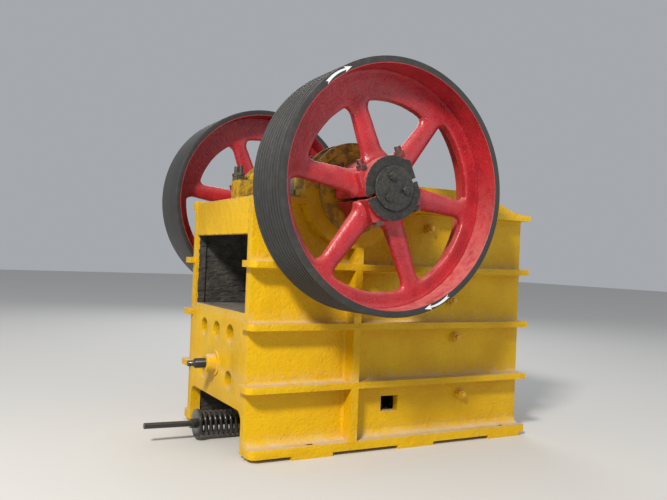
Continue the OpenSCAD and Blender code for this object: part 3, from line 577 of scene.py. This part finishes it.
manganese, tree, shader = finish_material("manganese_casting")
skin = use_effect(tree, cast_skin, {"Lump Size": 0.03, "Lump Depth": 0.0016, "Grain Size": 0.007})
wear = use_effect(tree, edge_wear, {"Wear": 1.0, "Dirt": 0.7, "Chip Size": 0.05})
dust = use_effect(tree, settled_dust, {"Amount": 0.9, "Patch Size": 0.05, "Slope": 0.3})["Mask"]
rusty = ramp(tree, grain_noise(tree, 0.08, 5.0, 0.7), 0.40, 0.64)
colour = coats(tree, JAW_GREY, (rusty, JAW_RUST), (wear["Chips"], ROCK_POLISH), (dust, STONE_DUST))
rough = maths(tree, "SUBTRACT", 0.78, times(tree, wear["Chips"], 0.35))
set_surface(tree, shader, colour, rough, skin["Height"])
shader.inputs["Metallic"].default_value = 0.3
rounded_copy("fixed_jaw_plate", "fixed_jaw_casting", JAW_PLATE_EDGE, manganese, "frame", "manganese_steel")
rounded_copy("cheek_plates", "cheek_castings", JAW_PLATE_EDGE, manganese, "frame", "manganese_steel")
rounded_copy("moving_jaw_plate", "moving_jaw_casting", JAW_PLATE_EDGE, manganese, "jaw", "manganese_steel")
rounded_copy("jaw_wedge", "jaw_wedge_bar", WEDGE_EDGE, manganese, "jaw", "manganese_steel")

# Cheek bolts
# Each has a washer and a nut outside the wall. They were painted over with the walls, and dust and
# dirt sit round them.
BOLT_EDGE = 0.0022
BOLT_DIRT = (0.22, 0.12, 0.02, 1)

yellow_bolt, tree, shader = finish_material("yellow_bolt_paint")
skin = use_effect(tree, cast_skin, {
    "Lump Size": 0.012, "Lump Depth": 0.0005, "Grain Size": 0.003, "Grain Depth": 0.0003, "Pits": 0.0004})
wear = use_effect(tree, edge_wear, {"Wear": 0.35, "Dirt": 0.9, "Chip Size": 0.008})
dust = use_effect(tree, settled_dust, {"Amount": 0.5, "Patch Size": 0.02, "Slope": 0.3})["Mask"]
colour = coats(tree, PAINT_YELLOW, (skin["Mottle"], PAINT_DEEP),
               (times(tree, wear["Corners"], 0.5), BOLT_DIRT), (wear["Chips"], RUST), (dust, ROAD_DUST))
set_surface(tree, shader, colour, raised(tree, 0.38, dust, 0.4), skin["Height"])
rounded_copy("cheek_bolts", "cheek_bolt_set", BOLT_EDGE, yellow_bolt, "frame", "yellow_paint", 2)

# Toggle gear
# A steel block in front of the cross beam that the adjusting screw pushes, a toggle plate between
# two hard seats, and the black oiled screw that stands out at the rear.
BLOCK_EDGE, TOGGLE_EDGE, SEAT_EDGE = 0.006, 0.004, 0.003
# Dark dirty iron, darkened further as painted shade inside the frame
DARK_IRON_AND_SHADE = (0.030, 0.028, 0.025, 1)
BROWN_IRON = (0.075, 0.062, 0.048, 1)
RUBBED_IRON = (0.25, 0.22, 0.19, 1)
IRON_DUST = (0.30, 0.25, 0.19, 1)

dusty_iron, tree, shader = finish_material("dusty_iron")
skin = use_effect(tree, cast_skin, {"Lump Size": 0.04, "Lump Depth": 0.002})
wear = use_effect(tree, edge_wear, {"Wear": 0.7, "Dirt": 0.8})
dust = use_effect(tree, settled_dust, {"Amount": 1.0, "Patch Size": 0.07, "Slope": 0.15})["Mask"]
colour = coats(tree, DARK_IRON_AND_SHADE, (skin["Mottle"], BROWN_IRON), (wear["Chips"], RUBBED_IRON),
               (dust, IRON_DUST))
set_surface(tree, shader, colour, raised(tree, 0.6, dust, 0.25), skin["Height"])
rounded_copy("adjusting_block", "adjusting_block_casting", BLOCK_EDGE, dusty_iron, "frame", "dusty_steel")
rounded_copy("toggle_plate", "toggle_plate_casting", TOGGLE_EDGE, dusty_iron, "frame", "dusty_steel")
rounded_copy("rear_toggle_seat", "rear_toggle_seat_bar", SEAT_EDGE, bare_steel, "frame", "bare_steel")
rounded_copy("front_toggle_seat", "front_toggle_seat_bar", SEAT_EDGE, bare_steel, "jaw", "bare_steel")

# The screw's outer end is turned down and has no thread
SCREW_R, SCREW_PITCH, SCREW_DEPTH = 0.028, 0.0060, 0.0020
THREAD_END, TAIL_R, TAIL_LENGTH, TAIL_CHAMFER = 0.040, 0.016, 0.034, 0.002
OIL_BLACK = (0.009, 0.009, 0.010, 1)
OIL_BROWN = (0.020, 0.018, 0.016, 1)
OIL_DUST = (0.14, 0.12, 0.09, 1)

oily_black, tree, shader = finish_material("oily_black")
skin = use_effect(tree, cast_skin, {
    "Lump Size": 0.02, "Lump Depth": 0.0003, "Grain Size": 0.004, "Grain Depth": 0.0002, "Pits": 0.0002})
dust = use_effect(tree, settled_dust, {"Amount": 0.45, "Patch Size": 0.02, "Slope": 0.3})["Mask"]
colour = coats(tree, OIL_BLACK, (skin["Mottle"], OIL_BROWN), (times(tree, dust, 0.6), OIL_DUST))
set_surface(tree, shader, colour, raised(tree, 0.32, dust, 0.6), skin["Height"])
shader.inputs["Coat Weight"].default_value = 0.3
shader.inputs["Coat Roughness"].default_value = 0.12

low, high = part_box("adjusting_screw")
stations = thread_stations(high.x, low.x + THREAD_END, SCREW_R, SCREW_PITCH, SCREW_DEPTH)
stations += [(low.x + TAIL_LENGTH, TAIL_R), (low.x + TAIL_CHAMFER, TAIL_R), (low.x, TAIL_R - TAIL_CHAMFER)]
screw = turned_piece("adjusting_screw_bar", stations, 40)
screw.transform(Matrix.Translation((0, 0, (low.z + high.z) / 2)))
add_piece("adjusting_screw_bar", screw, oily_black, "frame", "black_steel", "adjusting_screw")

# Eccentric shaft
# Turned steel in one piece from wheel to wheel, ground on its journals. Only the parts beside the
# bearings show, and its ends are under the hub's caps.
SHAFT_EDGE = 0.0025
rounded_copy("eccentric_shaft", "eccentric_shaft_bar", SHAFT_EDGE, bare_steel, "rotor", "bare_steel")

# Wheel rings
# Grey cast rings turned on their outer side: nine V grooves on the pulley, a plain face on the
# flywheel. The inside is sprayed red with the spokes, and the red stops at the ring's side face.
RING_R, RING_IN, RING_FACE, RING_BACK, RED_EDGE = 0.630, 0.595, 0.964, 0.643, 0.5985
RING_SIDES, RING_CREASE = 192, 24.0
# Radius of each corner of the ring's edge, and how far it stands back from the side face
RING_CORNERS = ((RING_IN, 0.001), (RING_IN + 0.001, 0.0), (RING_R - 0.003, 0.0),
                (RING_R - 0.0009, 0.0009), (RING_R, 0.003))
# Depth and half width of a groove: at the ring's surface, below its rounded lip and at the root
GROOVES, GROOVE_PITCH = 9, 0.032
GROOVE_HALF = ((0.0, 0.01306), (0.0011, 0.01196), (0.019, 0.00547))
RING_GREY = (0.014, 0.014, 0.014, 1)
RING_PALE = (0.038, 0.037, 0.035, 1)
RING_SCUFF = (0.056, 0.052, 0.045, 1)
RING_DUST = (0.22, 0.20, 0.17, 1)
# Near black painted into the grooves as shade
GROOVE_SHADE = (0.008, 0.008, 0.008, 1)
WHEEL_RED = (0.43, 0.016, 0.024, 1)
WHEEL_RED_DEEP = (0.30, 0.009, 0.016, 1)
# Pale red of chalked enamel, also used as painted sunlight on faces that look up
CHALKY_SUNLIT_RED = (0.56, 0.155, 0.145, 1)

# Distance from the shaft's axis, in metres
shaft_distance, given, result = effect("shaft_distance", {}, ("Radius", "Side"))
spot = parts_of(shaft_distance, "Object")
across = maths(shaft_distance, "POWER", maths(shaft_distance, "SUBTRACT", spot["X"], SHAFT.x), 2.0)
upward = maths(shaft_distance, "POWER", maths(shaft_distance, "SUBTRACT", spot["Z"], SHAFT.z), 2.0)
radius = maths(shaft_distance, "SQRT", maths(shaft_distance, "ADD", across, upward))
shaft_distance.links.new(radius, result["Radius"])
shaft_distance.links.new(maths(shaft_distance, "ABSOLUTE", spot["Y"]), result["Side"])

# Red enamel over a sand-cast skin, chalky where it looks up to the sun; the pale tone there is partly
# painted sunlight
red_enamel, given, result = effect(
    "red_enamel", {"Chalk And Sunlight": 0.5, "Facing": -0.1}, ("Height", "Tone", "Chalk And Sunlight", "Roughness"))
skin = use_effect(red_enamel, cast_skin, {
    "Lump Size": 0.03, "Lump Depth": 0.0022, "Grain Size": 0.009, "Grain Depth": 0.0020})
red_enamel.links.new(skin["Height"], result["Height"])
red_enamel.links.new(skin["Mottle"], result["Tone"])
up = use_effect(red_enamel, settled_dust, {"Amount": 1.0, "Patch Size": 0.05, "Slope": given["Facing"]})
speckle = ramp(red_enamel, grain_noise(red_enamel, 0.007, 3.0, 0.7), 0.50, 0.68)
chalk_and_sunlight = times(red_enamel, raised(red_enamel, up["Mask"], speckle, 0.30), given["Chalk And Sunlight"], True)
red_enamel.links.new(chalk_and_sunlight, result["Chalk And Sunlight"])
red_enamel.links.new(raised(red_enamel, 0.30, chalk_and_sunlight, 0.25), result["Roughness"])


def red_coat(tree, chalk_and_sunlight, facing):
    """The wheels' red enamel: its colour, and its other values."""
    enamel = use_effect(tree, red_enamel, {"Chalk And Sunlight": chalk_and_sunlight, "Facing": facing})
    # The chalk tone is partly painted sunlight on the faces that look up
    return coats(tree, WHEEL_RED, (enamel["Tone"], WHEEL_RED_DEEP), (enamel["Chalk And Sunlight"], CHALKY_SUNLIT_RED)), enamel


ring_paint, tree, shader = finish_material("ring_paint")
red, enamel = red_coat(tree, 0.95, -0.40)
turned = grain_noise(tree, 0.010, 4.0, 0.7, (0.02, 2.5, 0.02))
scuffs = ramp(tree, grain_noise(tree, 0.05, 5.0, 0.7), 0.45, 0.70)
dust = use_effect(tree, settled_dust, {"Amount": 0.30, "Patch Size": 0.10, "Slope": 0.3})["Mask"]
# The grooves are painted darker with depth, as shade
reach = use_effect(tree, shaft_distance, {})
groove_shade = ramp(tree, reach["Radius"], RING_R - 0.012, RING_R - 0.0005, 1.0, 0.0)
groove_shade = times(tree, groove_shade, maths(tree, "LESS_THAN", reach["Side"], RING_FACE - 0.0025))
grey = coats(tree, RING_GREY, (turned, RING_PALE), (times(tree, scuffs, 0.5), RING_SCUFF),
             (dust, RING_DUST), (times(tree, groove_shade, 0.55), GROOVE_SHADE))
red_line = maths(tree, "ADD", reach["Radius"], ragged(tree, 0.025, 0.006))
is_red = maths(tree, "LESS_THAN", red_line, RED_EDGE)
rough = raised(tree, 0.50, scuffs, 0.12)
rough = raised(tree, rough, is_red, maths(tree, "SUBTRACT", enamel["Roughness"], rough))
lines = times(tree, times(tree, turned, 0.0006), maths(tree, "SUBTRACT", 1.0, is_red))
height = raised(tree, lines, enamel["Height"], ramp(tree, is_red, 0, 1, 0.35, 1.0))
set_surface(tree, shader, coats(tree, grey, (is_red, red)), rough, height)


def wheel_ring(name, side, grooves):
    """Revolves a ring's section about the shaft."""
    section = [(r, RING_BACK + back) for r, back in RING_CORNERS]
    for i in range(grooves):
        middle = (RING_BACK + RING_FACE) / 2 + (i - (grooves - 1) / 2) * GROOVE_PITCH
        section += [(RING_R - depth, middle - half) for depth, half in GROOVE_HALF]
        section += [(RING_R - depth, middle + half) for depth, half in reversed(GROOVE_HALF)]
    section += [(r, RING_FACE - back) for r, back in reversed(RING_CORNERS)]
    work = bmesh.new()
    rings = []
    for angle in circle(RING_SIDES):
        out, up = math.cos(angle), math.sin(angle)
        ring = [(SHAFT.x + r * out, side * y, SHAFT.z + r * up) for r, y in section]
        rings.append([work.verts.new(point) for point in ring])
    for k in range(RING_SIDES):
        near, far = rings[k], rings[(k + 1) % RING_SIDES]
        for i in range(len(section)):
            after = (i + 1) % len(section)
            work.faces.new((near[i], near[after], far[after], far[i]))
    return finished_mesh(work, name, RING_CREASE)


# Wheel castings
# Spokes, web ring, counterweight and the hub's core are one iron casting with the ring. The spokes
# are oval and flare into the hub and the web with big fillets, under glossy red enamel.
SPOKES, SPOKE_AT, SPOKE_PLANE = 6, -8.0, 0.8035
SPOKE_FROM, SPOKE_TO, SPOKE_STEPS, SPOKE_SIDES = 0.135, 0.591, 36, 32
# Half widths at the hub and the web, then thickness to width, and how square the oval is
SPOKE_HUB_HALF, SPOKE_WEB_HALF, SPOKE_THICK, SPOKE_WIDE, OVAL = 0.061, 0.046, 76, 122, 0.85
WEB_R, WEB_T, WEB_OUT, WEIGHT_R, WEIGHT_OUT = 0.516, 0.050, 0.604, 0.445, 0.526
# Fillet between web and ring: a wedge of stacked narrow blocks, softened below
WEB_FILLET = ((0.590, 0.031), (0.585, 0.028))
# The web ring is laid in quarters that lap by one degree
SECTOR, OVERLAP = 90, 1
HUB_FACE, HUB_BACK, HUB_R = 0.910, 0.610, 0.161
SLOT_AT, SLOT_HALF, SLOT_CLEAR = SPOKE_AT + 30, 0.008, 0.001
# The spokes' flares: how far each reaches, and how much it adds to half the width or thickness
ROOT_REACH, ROOT_WIDER, ROOT_THICKER = 0.050, 0.022, 0.013
TIP_REACH, TIP_WIDER, TIP_HALF_T, FADE_EARLY, FADE_REACH = 0.052, 0.030, 0.0225, 0.012, 0.080
# How far the two sides of a spoke run into the counterweight: their mean, and half their difference
INTO_WEIGHT = {1: (0.5, 0.5), 2: (1.0, 0.0), 3: (0.5, -0.5)}
VOXEL, SOFTEN_TURNS = 0.0062, 14
# Waves a metre and height of the swells that the sand mould leaves in the skin
SWELLS = ((17.0, 0.0009), (45.0, 0.0004))

red_casting, tree, shader = finish_material("red_enamel_casting")
red, enamel = red_coat(tree, 0.75, 0.0)
set_surface(tree, shader, red, enamel["Roughness"], enamel["Height"])
shader.inputs["Coat Weight"].default_value = 0.12
shader.inputs["Coat Roughness"].default_value = 0.3


def wheel_point(side, radius, degrees, out):
    """A point of a wheel: its radius, its angle and how far out along the shaft it lies."""
    angle = math.radians(degrees)
    return Vector((SHAFT.x + radius * math.cos(angle), side * out, SHAFT.z + radius * math.sin(angle)))


def crosswise(degrees):
    """Direction square to a spoke, in the wheel's plane."""
    return Vector((-math.sin(math.radians(degrees)), 0, math.cos(math.radians(degrees))))


def share_of(value):
    """Holds a share between 0 and 1."""
    return max(0.0, min(1.0, value))


def web_sector(work, side, r_in, r_out, start, end, half):
    """A block of the web ring between two angles, closed at its ends."""
    count = max(2, int(abs(end - start) / 3))
    sections = []
    for k in range(count + 1):
        at = start + (end - start) * k / count
        corners = ((r_in, -half), (r_out, -half), (r_out, half), (r_in, half))
        sections.append([wheel_point(side, r, at, SPOKE_PLANE + out) for r, out in corners])
    loft(work, sections)


def spoke_section(side, spoke, r):
    """An oval ring of points across a spoke, kept clear of the hub's slots."""
    at = SPOKE_AT + spoke * 360 / SPOKES
    mean, lean = INTO_WEIGHT.get(spoke, (0.0, 0.0))
    sideways, across = crosswise(at), crosswise(SLOT_AT)
    slot_side = math.copysign(1, (wheel_point(1, 1, at, 0) - SHAFT).dot(across))
    along = share_of((r - HUB_R) / (WEB_R - HUB_R))
    wide = SPOKE_HUB_HALF + (SPOKE_WEB_HALF - SPOKE_HUB_HALF) * along
    root = share_of(1 - (r - HUB_R) / ROOT_REACH)
    ring = []
    for turn in circle(SPOKE_SIDES):
        tip = WEB_R - (WEB_R - WEIGHT_R) * (mean + lean * math.cos(turn))
        end = share_of(1 - (tip - r) / TIP_REACH)
        fade = share_of((r - tip + FADE_EARLY) / FADE_REACH)
        fade = fade * fade * (3 - 2 * fade)
        half_w = wide + ROOT_WIDER * root ** 2 + TIP_WIDER * end ** 2
        half_t = wide * SPOKE_THICK / SPOKE_WIDE + ROOT_THICKER * root ** 2
        half_t = half_t * (1 - fade) + TIP_HALF_T * fade
        point = wheel_point(side, r, at, SPOKE_PLANE) + sideways * half_w * math.cos(turn)
        point.y += side * half_t * math.copysign(abs(math.sin(turn)) ** OVAL, math.sin(turn))
        clear = (point - SHAFT).dot(across) * slot_side
        if clear < SLOT_HALF + SLOT_CLEAR:
            point += across * slot_side * (SLOT_HALF + SLOT_CLEAR - clear)
        ring.append(point)
    return ring


def wheel_casting(name, side):
    """Spokes, web ring and counterweight, fused and softened where they run together."""
    work = bmesh.new()
    for start in range(0, 360, SECTOR):
        for reach, half in ((WEB_R, WEB_T / 2), *WEB_FILLET):
            web_sector(work, side, reach, WEB_OUT, start, start + SECTOR + OVERLAP, half)
    # The counterweight lies between the second spoke and the fourth
    web_sector(work, side, WEIGHT_R, WEIGHT_OUT, SPOKE_AT + 60, SPOKE_AT + 180, WEB_T / 2)
    length = SPOKE_TO - SPOKE_FROM
    stations = [SPOKE_FROM + length * step / SPOKE_STEPS for step in range(SPOKE_STEPS + 1)]
    for spoke in range(SPOKES):
        loft(work, [spoke_section(side, spoke, r) for r in stations])
    bmesh.ops.recalc_face_normals(work, faces=work.faces)
    draft = bpy.data.objects.new(name + "_draft", mesh_of(work, name))
    scene.collection.objects.link(draft)
    fuse = draft.modifiers.new("fuse", "REMESH")
    fuse.mode = "VOXEL"
    fuse.voxel_size = VOXEL
    soften = draft.modifiers.new("soften", "SMOOTH")
    soften.factor = 0.5
    soften.iterations = SOFTEN_TURNS
    bpy.context.view_layer.update()
    shaped = bpy.data.meshes.new_from_object(draft.evaluated_get(bpy.context.evaluated_depsgraph_get()))
    bpy.data.objects.remove(draft)
    moved = []
    for vertex in shaped.vertices:
        swell = sum(noise.noise(vertex.co * waves) * height for waves, height in SWELLS)
        moved.extend(vertex.co + vertex.normal * swell)
    shaped.vertices.foreach_set("co", moved)
    shaped.polygons.foreach_set("use_smooth", [True] * len(shaped.polygons))
    return shaped


# Hub halves
# The hub is split by two slots and clamped on the shaft by four bolts through its lugs. The faces
# are turned and dark grey; the barrel and the lugs are red.
HUB_EDGE, BORE, FACE_SKIN = 0.003, 0.0705, 0.0022
LUG_OUTLINE = [(0.078, SLOT_HALF), (0.154, SLOT_HALF), (0.154, 0.121), (0.151, 0.128),
               (0.144, 0.131), (0.078, 0.131)]
LUG_INSET, HUB_STEPS, BORE_STEPS = 0.024, 44, 30
# The face is cut flat beside one slot, and above it runs out over the lug, turned with it
FACE_FLAT = 0.146
FACE_CORNER = [(0.143, SLOT_HALF), (0.140, 0.099), (0.130, 0.110), (0.114, 0.113)]
CORNER_END = 0.106
HUB_GREY = (0.012, 0.012, 0.011, 1)
HUB_PALE = (0.040, 0.036, 0.030, 1)
HUB_CHIP = (0.20, 0.17, 0.14, 1)
# Laid square to the slots: X along them, Z across
slot_frame = Matrix.Translation(SHAFT) @ Matrix.Rotation(math.radians(-SLOT_AT), 4, "Y")

hub_paint, tree, shader = finish_material("hub_paint")
red, enamel = red_coat(tree, 0.95, -0.3)
wear = use_effect(tree, edge_wear, {"Wear": 0.6, "Dirt": 0.4, "Chip Size": 0.012})
mottled = ramp(tree, grain_noise(tree, 0.018, 5.0, 0.75), 0.35, 0.72)
grey = coats(tree, HUB_GREY, (mottled, HUB_PALE))
reach = use_effect(tree, shaft_distance, {})
face_line = maths(tree, "ADD", reach["Side"], ragged(tree, 0.02, 0.004))
is_face = maths(tree, "GREATER_THAN", face_line, HUB_FACE - FACE_SKIN)
colour = coats(tree, red, (is_face, grey), (wear["Chips"], HUB_CHIP))
set_surface(tree, shader, colour, raised(tree, enamel["Roughness"], is_face, 0.28), enamel["Height"])


def prism(work, outline, low, high):
    """Straight prism along the shaft, over an outline in the slots' own frame."""
    loft(work, [[slot_frame @ Vector((u, level, v)) for u, v in outline] for level in (low, high)])


def half_circle(radius, half, count):
    """Points from one slot's edge round to the other's."""
    start = math.asin(SLOT_HALF / radius)
    arc = [start + (math.pi - 2 * start) * k / count for k in range(count + 1)]
    return [(radius * math.cos(a), half * radius * math.sin(a)) for a in arc]


def hub_halves(name, side):
    """The two halves of a split hub with their lugs, bored for the shaft."""
    work = bmesh.new()
    for half in (1, -1):
        outline = [(min(u, FACE_FLAT), v) for u, v in half_circle(HUB_R, half, HUB_STEPS)]
        if half == 1:
            outline = FACE_CORNER + [point for point in outline if point[0] < CORNER_END]
        outline += reversed(half_circle(BORE, half, BORE_STEPS))
        prism(work, outline, side * HUB_BACK, side * HUB_FACE)
        for lug in (1, -1):
            prism(work, [(lug * u, half * v) for u, v in LUG_OUTLINE],
                  side * (HUB_BACK + LUG_INSET), side * (HUB_FACE - LUG_INSET))
    return rounded(finished_mesh(work, name, 180.0), HUB_EDGE, hub_paint, 2)


for side, wheel, grooves in ((-1, "pulley", GROOVES), (1, "flywheel", 0)):
    ring, casting, hub = wheel + "_ring", wheel + "_casting", wheel + "_hub"
    add_piece(ring, wheel_ring(ring, side, grooves), ring_paint, "rotor", "grey_rim", wheel + "_rim")
    add_piece(casting, wheel_casting(casting, side), red_casting, "rotor", "red_paint", wheel + "_spokes")
    add_piece(hub, hub_halves(hub, side), hub_paint, "rotor", "red_paint")

# Turning arrows
# Two white arrows on the pulley's side face show which way it turns. They were sprayed through a
# stencil, and the coat is thin and worn in spots.
ARROW_R, ARROW_BOW, ARROW_HALF, ARROW_TAPER = 0.6090, 0.0080, 0.0078, 0.0040
ARROW_STEPS, BOW_STEPS, HEAD_DEGREES, HEAD_SWEEP = 12, 14, 3.2, 0.25
BARB_OUT, ARROW_POINT, BARB_IN, TAIL_NOTCH = 0.6275, 0.6120, 0.5990, (0.10, 0.6095)
PAINT_UNDER, PAINT_PROUD = 0.0004, 0.0006
ARROW_WHITE = (0.74, 0.75, 0.74, 1)
ARROW_WORN = (0.30, 0.30, 0.29, 1)

stencil_white, tree, shader = finish_material("stencil_white")
skin = use_effect(tree, cast_skin, {
    "Lump Size": 0.02, "Lump Depth": 0.0003, "Grain Size": 0.004, "Grain Depth": 0.0003, "Pits": 0.0})
worn = ramp(tree, grain_noise(tree, 0.008, 4.0, 0.75), 0.60, 0.72)
colour = coats(tree, ARROW_WHITE, (worn, ARROW_WORN))
set_surface(tree, shader, colour, raised(tree, 0.5, worn, 0.2), skin["Height"])


def turning_arrow(name, start, end):
    """A thin curved arrow on the pulley's side face, from one angle to another."""
    neck = end - math.copysign(HEAD_DEGREES, end - start)
    barb = neck - (end - neck) * HEAD_SWEEP

    def shaft_edge(k, way):
        middle = ARROW_R + ARROW_BOW * math.sin(math.pi * k / BOW_STEPS)
        at = start + (neck - start) * k / ARROW_STEPS
        return at, middle + way * (ARROW_HALF - ARROW_TAPER * k / ARROW_STEPS)

    outline = [shaft_edge(k, 1) for k in range(ARROW_STEPS + 1)]
    outline += [(barb, BARB_OUT), (end, ARROW_POINT), (barb, BARB_IN)]
    outline += [shaft_edge(k, -1) for k in range(ARROW_STEPS, -1, -1)]
    outline.append((start + (neck - start) * TAIL_NOTCH[0], TAIL_NOTCH[1]))
    work = bmesh.new()
    levels = (RING_FACE - PAINT_UNDER, RING_FACE + PAINT_PROUD)
    loft(work, [[wheel_point(-1, r, a, level) for a, r in outline] for level in levels])
    bmesh.ops.recalc_face_normals(work, faces=work.faces)
    add_piece(name, mesh_of(work, name), stencil_white, "rotor", "grey_rim")


turning_arrow("turning_arrow_upper", 133.5, 118.5)
turning_arrow("turning_arrow_lower", -58.5, -73.5)

# Hub fasteners and end caps
# Clamp bolts through the lugs, and a turned cap held by three bolts on each end of the shaft.
# They are dark steel, with bare corners where spanners have been.
END_CAP_EDGE, CLAMP_EDGE, CAP_BOLT_EDGE = 0.002, 0.0018, 0.0015
CLAMP_AT, CLAMP_ROWS = 0.116, (0.070, 0.257)
CLAMP_THREAD = (0.150, 0.183, 0.0175, 0.004, 0.0013)
CAP_IRON = (0.024, 0.024, 0.023, 1)
CAP_PALE = (0.068, 0.062, 0.053, 1)
CAP_RUBBED = (0.24, 0.22, 0.19, 1)
CLAMP_BLACK = (0.030, 0.026, 0.023, 1)
CLAMP_BROWN = (0.085, 0.050, 0.034, 1)
CLAMP_RUBBED = (0.30, 0.26, 0.22, 1)

dark_iron, tree, shader = finish_material("dark_cap_iron")
mottled = ramp(tree, grain_noise(tree, 0.016, 5.0, 0.75), 0.35, 0.72)
reach = use_effect(tree, shaft_distance, {})
turned = place(tree, "ShaderNodeTexNoise", {
    "W": times(tree, reach["Radius"], 420.0), "Scale": 1.0, "Detail": 3.0,
}, noise_dimensions="1D").outputs["Fac"]
wear = use_effect(tree, edge_wear, {"Wear": 0.9, "Dirt": 0.5, "Chip Size": 0.01})
colour = coats(tree, CAP_IRON, (mottled, CAP_PALE), (wear["Chips"], CAP_RUBBED))
height = maths(tree, "ADD", times(tree, turned, 0.0004), times(tree, mottled, 0.0005))
set_surface(tree, shader, colour, raised(tree, 0.45, mottled, 0.15), height)
shader.inputs["Metallic"].default_value = 0.3
rounded_copy("hub_end_caps", "hub_end_cap_discs", END_CAP_EDGE, dark_iron, "rotor", "dark_iron")

clamp_steel, tree, shader = finish_material("oversprayed_steel")
skin = use_effect(tree, cast_skin, {
    "Lump Size": 0.012, "Lump Depth": 0.0004, "Grain Size": 0.003, "Grain Depth": 0.0003, "Pits": 0.0003})
wear = use_effect(tree, edge_wear, {"Wear": 0.9, "Dirt": 0.6, "Chip Size": 0.006})
sprayed = times(tree, ramp(tree, grain_noise(tree, 0.035, 3.0, 0.6), 0.46, 0.56), 0.6)
colour = coats(tree, CLAMP_BLACK, (skin["Mottle"], CLAMP_BROWN), (sprayed, WHEEL_RED_DEEP),
               (wear["Chips"], CLAMP_RUBBED))
set_surface(tree, shader, colour, raised(tree, 0.45, skin["Mottle"], 0.2), skin["Height"])
rounded_copy("hub_clamp_bolts", "hub_clamp_bolt_set", CLAMP_EDGE, clamp_steel, "rotor", "dark_bolt", 2)
rounded_copy("hub_cap_bolts", "hub_cap_bolt_set", CAP_BOLT_EDGE, dark_iron, "rotor", "dark_bolt", 2)

# The clamp bolts' threaded ends stand out of their nuts
bolt_end = bmesh.new()
bolt_end.from_mesh(turned_piece("bolt_end", thread_stations(*CLAMP_THREAD), 24))
bolt_ends = bmesh.new()
for side in (-1, 1):
    for row in CLAMP_ROWS:
        for u in (-CLAMP_AT, CLAMP_AT):
            at_hole = slot_frame @ Matrix.Translation((u, side * (HUB_BACK + row), 0))
            join_at(bolt_ends, bolt_end, at_hole @ turn_up)
bolt_ends = mesh_of(bolt_ends, "hub_clamp_bolt_ends")
add_piece("hub_clamp_bolt_ends", bolt_ends, clamp_steel, "rotor", "dark_bolt")

# Swing jaw
# A heavy casting, bored for the eccentric, that carries the moving jaw plate. It was left unpainted
# inside the frame and is thick with dust, and its dark iron is darkened further as painted shade.
JAW_EDGE = 0.010
rounded_copy("swing_jaw", "swing_jaw_casting", JAW_EDGE, dusty_iron, "jaw", "dusty_iron")

# Tension rod and spring
# The rod hangs on a pin under the jaw and runs out at the rear through a stiff black spring, with
# a washer and a nut on its threaded end.
ROD_EDGE, NUT_EDGE = 0.0015, 0.002
rounded_copy("tension_rod", "tension_rod_bar", ROD_EDGE, oily_black, "jaw", "black_steel")
rounded_copy("rod_pin", "rod_pin_bar", ROD_EDGE, bare_steel, "jaw", "bare_steel")
rounded_copy("rod_nuts", "rod_nut", NUT_EDGE, oily_black, "jaw", "black_steel", 2)
rounded_copy("spring_washer", "spring_washer_disc", NUT_EDGE, oily_black, "jaw", "black_steel", 2)

# The spring's end turns lie close and are ground flat, the ones between them stand open
COIL_FOOT, ROD_TILT = (-1.068, 0, 0.09262), 1.2
COIL_R, WIRE_R, COIL_TURNS, TURN_STEPS, WIRE_SIDES = 0.059, 0.010, 10, 36, 14
COIL_START, CLOSE_PITCH, OPEN_FROM, OPEN_PITCH, OPEN_TO = -0.004, 0.0244, 0.0204, 0.0299, 0.2596
GROUND_LOW, GROUND_HIGH = -0.0097, 0.2897


def coil_height(turns):
    """Height of the wire's middle after so many turns."""
    if turns < 1:
        return COIL_START + CLOSE_PITCH * turns
    if turns > COIL_TURNS - 1:
        return OPEN_TO + CLOSE_PITCH * (turns - COIL_TURNS + 1)
    return OPEN_FROM + OPEN_PITCH * (turns - 1)


coil = bmesh.new()
sections = []
for step in range(TURN_STEPS * COIL_TURNS + 1):
    turns = step / TURN_STEPS
    angle = 2 * math.pi * turns
    ring = []
    for tilt in circle(WIRE_SIDES):
        out = COIL_R + WIRE_R * math.cos(tilt)
        level = coil_height(turns) + WIRE_R * math.sin(tilt)
        level = max(GROUND_LOW, min(GROUND_HIGH, level))
        ring.append((out * math.cos(angle), out * math.sin(angle), level))
    sections.append(ring)
loft(coil, sections)
coil = finished_mesh(coil, "tension_spring_coil", 180.0)
coil.transform(Matrix.Translation(COIL_FOOT) @ Matrix.Rotation(math.radians(90 + ROD_TILT), 4, "Y"))
add_piece("tension_spring_coil", coil, oily_black, "jaw", "spring_black", "tension_spring")

# The rod is threaded from behind the washer to its end
ROD_AT = (-1.1265, 0, 0.09384)
ROD_THREAD = (-0.0005, -0.2525, 0.0164, 0.0040, 0.0008)
rod_end = turned_piece("tension_rod_thread", thread_stations(*ROD_THREAD), 32)
rod_end.transform(Matrix.Translation(ROD_AT) @ Matrix.Rotation(math.radians(ROD_TILT), 4, "Y"))
add_piece("tension_rod_thread", rod_end, oily_black, "jaw", "black_steel")
